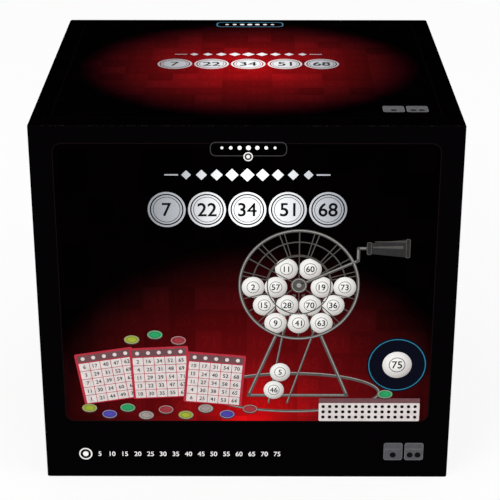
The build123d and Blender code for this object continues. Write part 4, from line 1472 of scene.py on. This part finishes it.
# %% Find the balls
def centres_of(name):
    """Gives the middle of each separate ball in a node."""
    shape = bmesh.new()
    shape.from_mesh(nodes[name].data)
    bmesh.ops.remove_doubles(shape, verts=shape.verts, dist=0.001 * MM)
    waiting = set(shape.verts)
    centres = []
    while waiting:
        group = [waiting.pop()]
        for corner in group:
            for edge in corner.link_edges:
                other = edge.other_vert(corner)
                if other in waiting:
                    waiting.remove(other)
                    group.append(other)
        low = Vector([min(corner.co[axis] for corner in group) for axis in range(3)])
        high = Vector([max(corner.co[axis] for corner in group) for axis in range(3)])
        centres.append((low + high) / 2)
    shape.free()
    return sorted(centres, key=lambda place: (round(place.z, 4), round(place.y, 4), round(place.x, 4)))


drum_centres = centres_of("number_balls")
track_centres = centres_of("called_balls")
print("balls in the drum", len(drum_centres), "and on the track", len(track_centres))

# %% [markdown]
# A bingo ball is moulded in two halves, so it has a fine seam round its middle. A ready-made sphere
# has none, so the profile is half a circle with a small notch, and a spin round the axis makes the
# ball. A dozen steps are enough for a ball of this size, of which there are 75.

# %% Model one ball
BALL_RADIUS = 11 * MM
PROFILE_STEPS = 12
SPIN_STEPS = 22
SEAM_HALF_ANGLE = 1.6
SEAM_SHARE = 0.985


def ball_mesh():
    """Spins the profile of a ball with a moulded seam."""
    shape = bmesh.new()
    profile = []
    for step in range(PROFILE_STEPS + 1):
        angle = 90 - step * 180 / PROFILE_STEPS
        if step == PROFILE_STEPS // 2:
            profile += [(SEAM_HALF_ANGLE, 1), (0, SEAM_SHARE), (-SEAM_HALF_ANGLE, 1)]
        else:
            profile.append((angle, 1))
    corners = []
    for angle, share in profile:
        reach = BALL_RADIUS * share
        corners.append(shape.verts.new((reach * cos(radians(angle)), 0, reach * sin(radians(angle)))))
    edges = [shape.edges.new(pair) for pair in zip(corners, corners[1:])]
    bmesh.ops.spin(
        shape, geom=corners + edges, angle=2 * pi, steps=SPIN_STEPS, axis=(0, 0, 1), cent=(0, 0, 0),
        use_merge=True,
    )
    bmesh.ops.remove_doubles(shape, verts=shape.verts, dist=0.01 * MM)
    bmesh.ops.recalc_face_normals(shape, faces=shape.faces)
    mesh = bpy.data.meshes.new("one_ball")
    shape.to_mesh(mesh)
    shape.free()
    return mesh


one_ball = ball_mesh()
print("faces of one ball", len(one_ball.polygons))

# %% [markdown]
# The numbers lie on the ball as ink. An image wrapped round the ball would need a file, so each is a
# shape. The flat number is cut into narrow strips in both directions, and each corner is then moved
# straight out onto the ball, so the ink follows the curve closely. A thin circle runs round each
# number.

# %% Wrap a number on a ball
BALL_INK = 0.05 * MM
BALL_NUMBER = 6.0 * MM
STRIP = 1.1 * MM
CIRCLE_RADIUS = 6.4 * MM
CIRCLE_LINE = 0.45 * MM


def wrapped_print(value):
    """Gives the mesh of a number in a circle, wrapped on the upper pole of a ball."""
    shape = bmesh.new()
    shape.from_mesh(number_mesh(value))
    bmesh.ops.transform(shape, matrix=Matrix.Scale(BALL_NUMBER, 4), verts=shape.verts)
    for axis in (0, 1):
        for step in range(-5, 6):
            point = [0, 0, 0]
            point[axis] = step * STRIP
            normal = [0, 0, 0]
            normal[axis] = 1
            parts = list(shape.verts) + list(shape.edges) + list(shape.faces)
            bmesh.ops.bisect_plane(shape, geom=parts, plane_co=point, plane_no=normal)
    made = bmesh.ops.create_circle(shape, cap_ends=True, segments=40, radius=CIRCLE_RADIUS)
    face = made["verts"][0].link_faces[0]
    bmesh.ops.inset_region(shape, faces=[face], thickness=CIRCLE_LINE, use_boundary=True)
    bmesh.ops.delete(shape, geom=[face], context="FACES")
    for corner in shape.verts:
        flat = corner.co.x ** 2 + corner.co.y ** 2
        corner.co.z = sqrt(BALL_RADIUS ** 2 - flat)
        corner.co *= (BALL_RADIUS + BALL_INK) / BALL_RADIUS
    mesh = bpy.data.meshes.new("wrapped_number")
    shape.to_mesh(mesh)
    shape.free()
    return mesh


trial_sign = wrapped_print(8)
print("faces of a wrapped number", len(trial_sign.polygons))
bpy.data.meshes.remove(trial_sign)

# %% [markdown]
# The plastic of a ball is ivory, with a low gloss and a clear coat. A little light goes into it before
# it comes back, which subsurface scattering does. Its numbers are a dark ink with more gloss than the
# inks of the paper.

# %% The plastic and the ink of the balls
ball_plastic, ball_sockets = new_finish("ball_ivory_plastic", specular=0.5, coat=0.3)
ball_sockets["Subsurface Weight"].default_value = 0.12
ball_sockets["Subsurface Radius"].default_value = (0.004, 0.003, 0.002)
ball_dark = paint(226, 222, 210)
ball_light = paint(242, 239, 230)
wear(ball_plastic, ball_sockets, ball_dark, ball_light, 120, (0.2, 0.34), 0.006 * MM)
ball_ink = ink_finish("ball_number_ink", paint(20, 20, 22), 0.4)
print("ball finishes ready")

# %% [markdown]
# Balls that tumbled in a drum never lie alike, so every ball is turned its own way. It carries its
# number on two opposite sides. Each number from 1 to 75 is used once. The shuffle has a fixed seed, so
# that every run gives the same balls.

# %% Make all the balls
BOTH_SIDES = (Matrix.Identity(4), Matrix.Rotation(pi, 4, "X"))
random.seed(75)
ball_numbers = list(range(1, 76))
random.shuffle(ball_numbers)


def add_moved(shape, mesh, move):
    """Adds a moved copy of a mesh to a shape."""
    copy = mesh.copy()
    copy.transform(move)
    shape.from_mesh(copy)
    bpy.data.meshes.remove(copy)


def make_balls(name, node, centres, numbers):
    """Copies the ball and its print to every place, each turned its own way."""
    plastic = bmesh.new()
    print_shape = bmesh.new()
    for centre, value in zip(centres, numbers):
        turn = Matrix.Rotation(random.uniform(0, 2 * pi), 4, "Z")
        turn = Matrix.Rotation(random.uniform(0, pi), 4, "X") @ turn
        turn = Matrix.Rotation(random.uniform(0, 2 * pi), 4, "Y") @ turn
        move = Matrix.Translation(centre) @ turn
        add_moved(plastic, one_ball, move)
        sign = wrapped_print(value)
        for side in BOTH_SIDES:
            add_moved(print_shape, sign, move @ side)
        bpy.data.meshes.remove(sign)
    for face in plastic.faces:
        face.smooth = True
    balls = object_from(name, plastic, ball_plastic)
    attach(balls, "stand")
    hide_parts(node)
    signs = object_from(name + "_numbers", print_shape, ball_ink)
    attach(signs, "stand")


make_balls("drum_balls", "number_balls", drum_centres, ball_numbers[:72])
make_balls("track_balls", "called_balls", track_centres, ball_numbers[72:])

# %% [markdown]
# The cards are thick board with a red border, a grey head and white cells. The print depends on the
# place alone, so the finish works it out from the distance to the card's edges. The fraction of a
# place that is counted in cells tells how far it is from the line between two cells. The cut edges
# of the board stay pale.

# %% The cards' finish
card_low, card_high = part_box("bingo_cards")
CARD_LEFT = card_low.x
CARD_FOOT = card_low.z
CARD_ACROSS = card_high.x - card_low.x
CARD_UP = card_high.z - card_low.z
CARD_EDGE = 5 * MM
CARD_HEAD = 16 * MM
CARD_CUT = 0.12 * MM
CELL_ACROSS = (CARD_ACROSS - 2 * CARD_EDGE) / 5
CELL_UP = (CARD_UP - 2 * CARD_EDGE - CARD_HEAD) / 5
COLUMN_LINE_START = 0.482
ROW_LINE_START = 0.48

card_paper, card_sockets = new_finish("card_printed_board", specular=0.3)
card_spot = spot(card_paper)
card_aside = minus(card_paper, card_spot[0], CARD_LEFT)
card_rise = minus(card_paper, card_spot[2], CARD_FOOT)
off_middle = away(card_paper, card_aside, CARD_ACROSS / 2)
off_height = away(card_paper, card_rise, CARD_UP / 2)


def in_margin(margin):
    """Gives 1 where a point of the card lies within a margin of its edges."""
    in_side = above(card_paper, off_middle, CARD_ACROSS / 2 - margin)
    in_end = above(card_paper, off_height, CARD_UP / 2 - margin)
    return most(card_paper, in_side, in_end)


def from_cell_middle(place, cell):
    """Gives how far a point lies from the middle of its cell, as a share of the cell."""
    steps = over(card_paper, minus(card_paper, place, CARD_EDGE), cell)
    return away(card_paper, calc(card_paper, "FRACT", steps), 0.5)


from_column_middle = from_cell_middle(card_aside, CELL_ACROSS)
on_column_line = above(card_paper, from_column_middle, COLUMN_LINE_START)
on_row_line = above(card_paper, from_cell_middle(card_rise, CELL_UP), ROW_LINE_START)
on_line = most(card_paper, on_column_line, on_row_line)
in_head = above(card_paper, card_rise, CARD_EDGE + 5 * CELL_UP)
paper_grain = between(card_paper, grain(card_paper, 700, 4.0), 0, 1)
white = mix(card_paper, paper_grain, paint(226, 222, 218), paint(240, 238, 234))
red = mix(card_paper, paper_grain, paint(156, 30, 44), paint(178, 42, 56))
grey = mix(card_paper, paper_grain, paint(92, 82, 84), paint(110, 100, 102))
cells = mix(card_paper, on_line, white, red)
face = mix(card_paper, in_margin(CARD_EDGE), mix(card_paper, in_head, cells, grey), red)
cut_face = mix(card_paper, in_margin(CARD_CUT), face, paint(196, 190, 178))
feed(card_paper, cut_face, card_sockets["Base Color"])
feed(card_paper, between(card_paper, grain(card_paper, 160), 0.4, 0.6), card_sockets["Roughness"])
relief(card_paper, grain(card_paper, 900, 3.0), 0.015 * MM)
dress(card_paper, "bingo_cards")

# %% [markdown]
# Only the front card gets numbers and the round marks of its head, because the other cards stand
# behind it. The free cell in the middle has a ring in place of a number.

# %% The print of the front card
FREE_CELL = (2, 2)
CARD_DIGIT = 8.4
card_face = face_matrix((1, 0, 0), (0, 0, 1), (0, -1, 0), (CARD_LEFT, card_low.y, CARD_FOOT))


def card_column_x(column):
    """Gives the middle of a column of the card in millimetres from its left edge."""
    return (CARD_EDGE + (column + 0.5) * CELL_ACROSS) / MM


real_numbers = bmesh.new()
head_marks = bmesh.new()
for column, values in enumerate(card_numbers()):
    for row, value in enumerate(values):
        cell_place = (card_column_x(column), (CARD_EDGE + (4.5 - row) * CELL_UP) / MM)
        if (column, row) == FREE_CELL:
            ring(real_numbers, cell_place, 5.6, 0.8, 0, 40)
            disc(real_numbers, cell_place, 2.6, 0, 32)
        else:
            number(real_numbers, value, cell_place, CARD_DIGIT)
    head_place = (card_column_x(column), (CARD_EDGE + 5 * CELL_UP + CARD_HEAD / 2) / MM)
    ring(head_marks, head_place, 4.8, 0.7, 0, 36)
    disc(head_marks, head_place, 2.4, 0, 28)
print_on("front_card_print", real_numbers, ink_black, card_face, "cards")
print_on("front_card_head", head_marks, ink_white, card_face, "cards")

# %% [markdown]
# The calling board is a thick plastic board with a blind hole for every number. A grey strip heads
# it, and its holes get a painted shade: their walls are painted dark. The finish tells them from the
# face by their depth, and leaves out the outer edges of the board, which are as deep.

# %% The calling board's finish
STRIP_HEIGHT = 19 * MM
HOLE_START = 0.4 * MM
HOLE_END = 3.2 * MM
BOARD_EDGE = 1 * MM
call_low, call_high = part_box("calling_board")
call_board, call_sockets = new_finish("calling_board_plastic", specular=0.4)
call_x, call_y, call_z = spot(call_board)
on_strip = above(call_board, call_z, call_high.z - STRIP_HEIGHT)
call_grain = between(call_board, grain(call_board, 240, 4.0), 0, 1)
call_white = mix(call_board, call_grain, paint(224, 220, 216), paint(236, 233, 229))
call_grey = mix(call_board, call_grain, paint(120, 108, 110), paint(136, 124, 126))
call_face = mix(call_board, on_strip, call_white, call_grey)
past_face = above(call_board, call_y, call_low.y + HOLE_START)
above_floor = below(call_board, call_y, call_low.y + HOLE_END)
off_side = below(call_board, away(call_board, call_x), call_high.x - BOARD_EDGE)
off_end = below(call_board, call_z, call_high.z - BOARD_EDGE)
in_depth = times(call_board, past_face, above_floor)
painted_hole_shade = times(call_board, times(call_board, in_depth, off_side), off_end)
# Painted shade: the walls of the holes are painted dark.
feed(call_board, mix(call_board, painted_hole_shade, call_face, paint(28, 26, 28)), call_sockets["Base Color"])
feed(call_board, between(call_board, grain(call_board, 120), 0.34, 0.5), call_sockets["Roughness"])
relief(call_board, grain(call_board, 800, 3.0), 0.02 * MM)
dress(call_board, "calling_board")

# %% [markdown]
# The board's print is a number beside each hole, a fine ring round the hole, thin lines between the
# rows, and five round marks on the head strip. Its places follow the pitch of the holes.

# %% The calling board's print
HOLE_ROW = 10
HOLE_PITCH_X = 19
HOLE_PITCH_Z = 15.4
BOARD_HEIGHT = 150
HEAD_ROOM = 20
FIRST_ROW = BOARD_HEIGHT - HEAD_ROOM - HOLE_PITCH_Z / 2
NUMBER_ASIDE = 8.6
HOLE_DIGIT = 3.6
HOLE_RING = 5.3
LINE_HALF = 97
MARK_PITCH = 38
MARK_HEIGHT = 140
call_face_matrix = face_matrix((1, 0, 0), (0, 0, 1), (0, -1, 0), (0, call_low.y, call_low.z))
call_print = bmesh.new()
for place in range(75):
    row, column = divmod(place, HOLE_ROW)
    x = (column - 4.5) * HOLE_PITCH_X
    y = FIRST_ROW - row * HOLE_PITCH_Z
    number(call_print, place + 1, (x - NUMBER_ASIDE, y), HOLE_DIGIT)
    ring(call_print, (x, y), HOLE_RING, 0.3, 0, 32)
for row in range(1, 8):
    line_height = FIRST_ROW - (row - 0.5) * HOLE_PITCH_Z
    bar(call_print, (-LINE_HALF, line_height), (LINE_HALF, line_height), 0.25)
print_on("calling_board_print", call_print, ink_black, call_face_matrix, "board")

call_head = bmesh.new()
for column in range(5):
    ring(call_head, ((column - 2) * MARK_PITCH, MARK_HEIGHT), 6.2, 0.8, 0, 40)
    disc(call_head, ((column - 2) * MARK_PITCH, MARK_HEIGHT), 3.4, 0, 32)
print_on("calling_board_head", call_head, ink_white, call_face_matrix, "board")

# %% [markdown]
# The counters are clear tinted plastic, and their moulded faces are slightly rough. Full glass in a
# stack would need many bounces of light, so a share of transmission lets only some of it through.
# Their rack is a dark moulded tray.

# %% Counters and their rack
COUNTER_TINTS = {
    "blue": paint(58, 84, 200),
    "green": paint(40, 168, 104),
    "lime": paint(176, 196, 52),
    "clear": paint(206, 212, 214),
    "red": paint(202, 46, 52),
}
for colour, tint in COUNTER_TINTS.items():
    counter, counter_sockets = new_finish("counter_" + colour, specular=0.5)
    counter_sockets["Transmission Weight"].default_value = 0.45
    counter_sockets["IOR"].default_value = 1.49
    wear(counter, counter_sockets, dimmed(tint, 0.7), tint, 210, (0.14, 0.3), 0.015 * MM)
    dress(counter, "chips_" + colour)

rack_plastic, rack_sockets = new_finish("rack_black_plastic", specular=0.4)
wear(rack_plastic, rack_sockets, paint(26, 26, 28), paint(44, 44, 46), 330, (0.4, 0.6), 0.03 * MM)
dress(rack_plastic, "chip_tray")
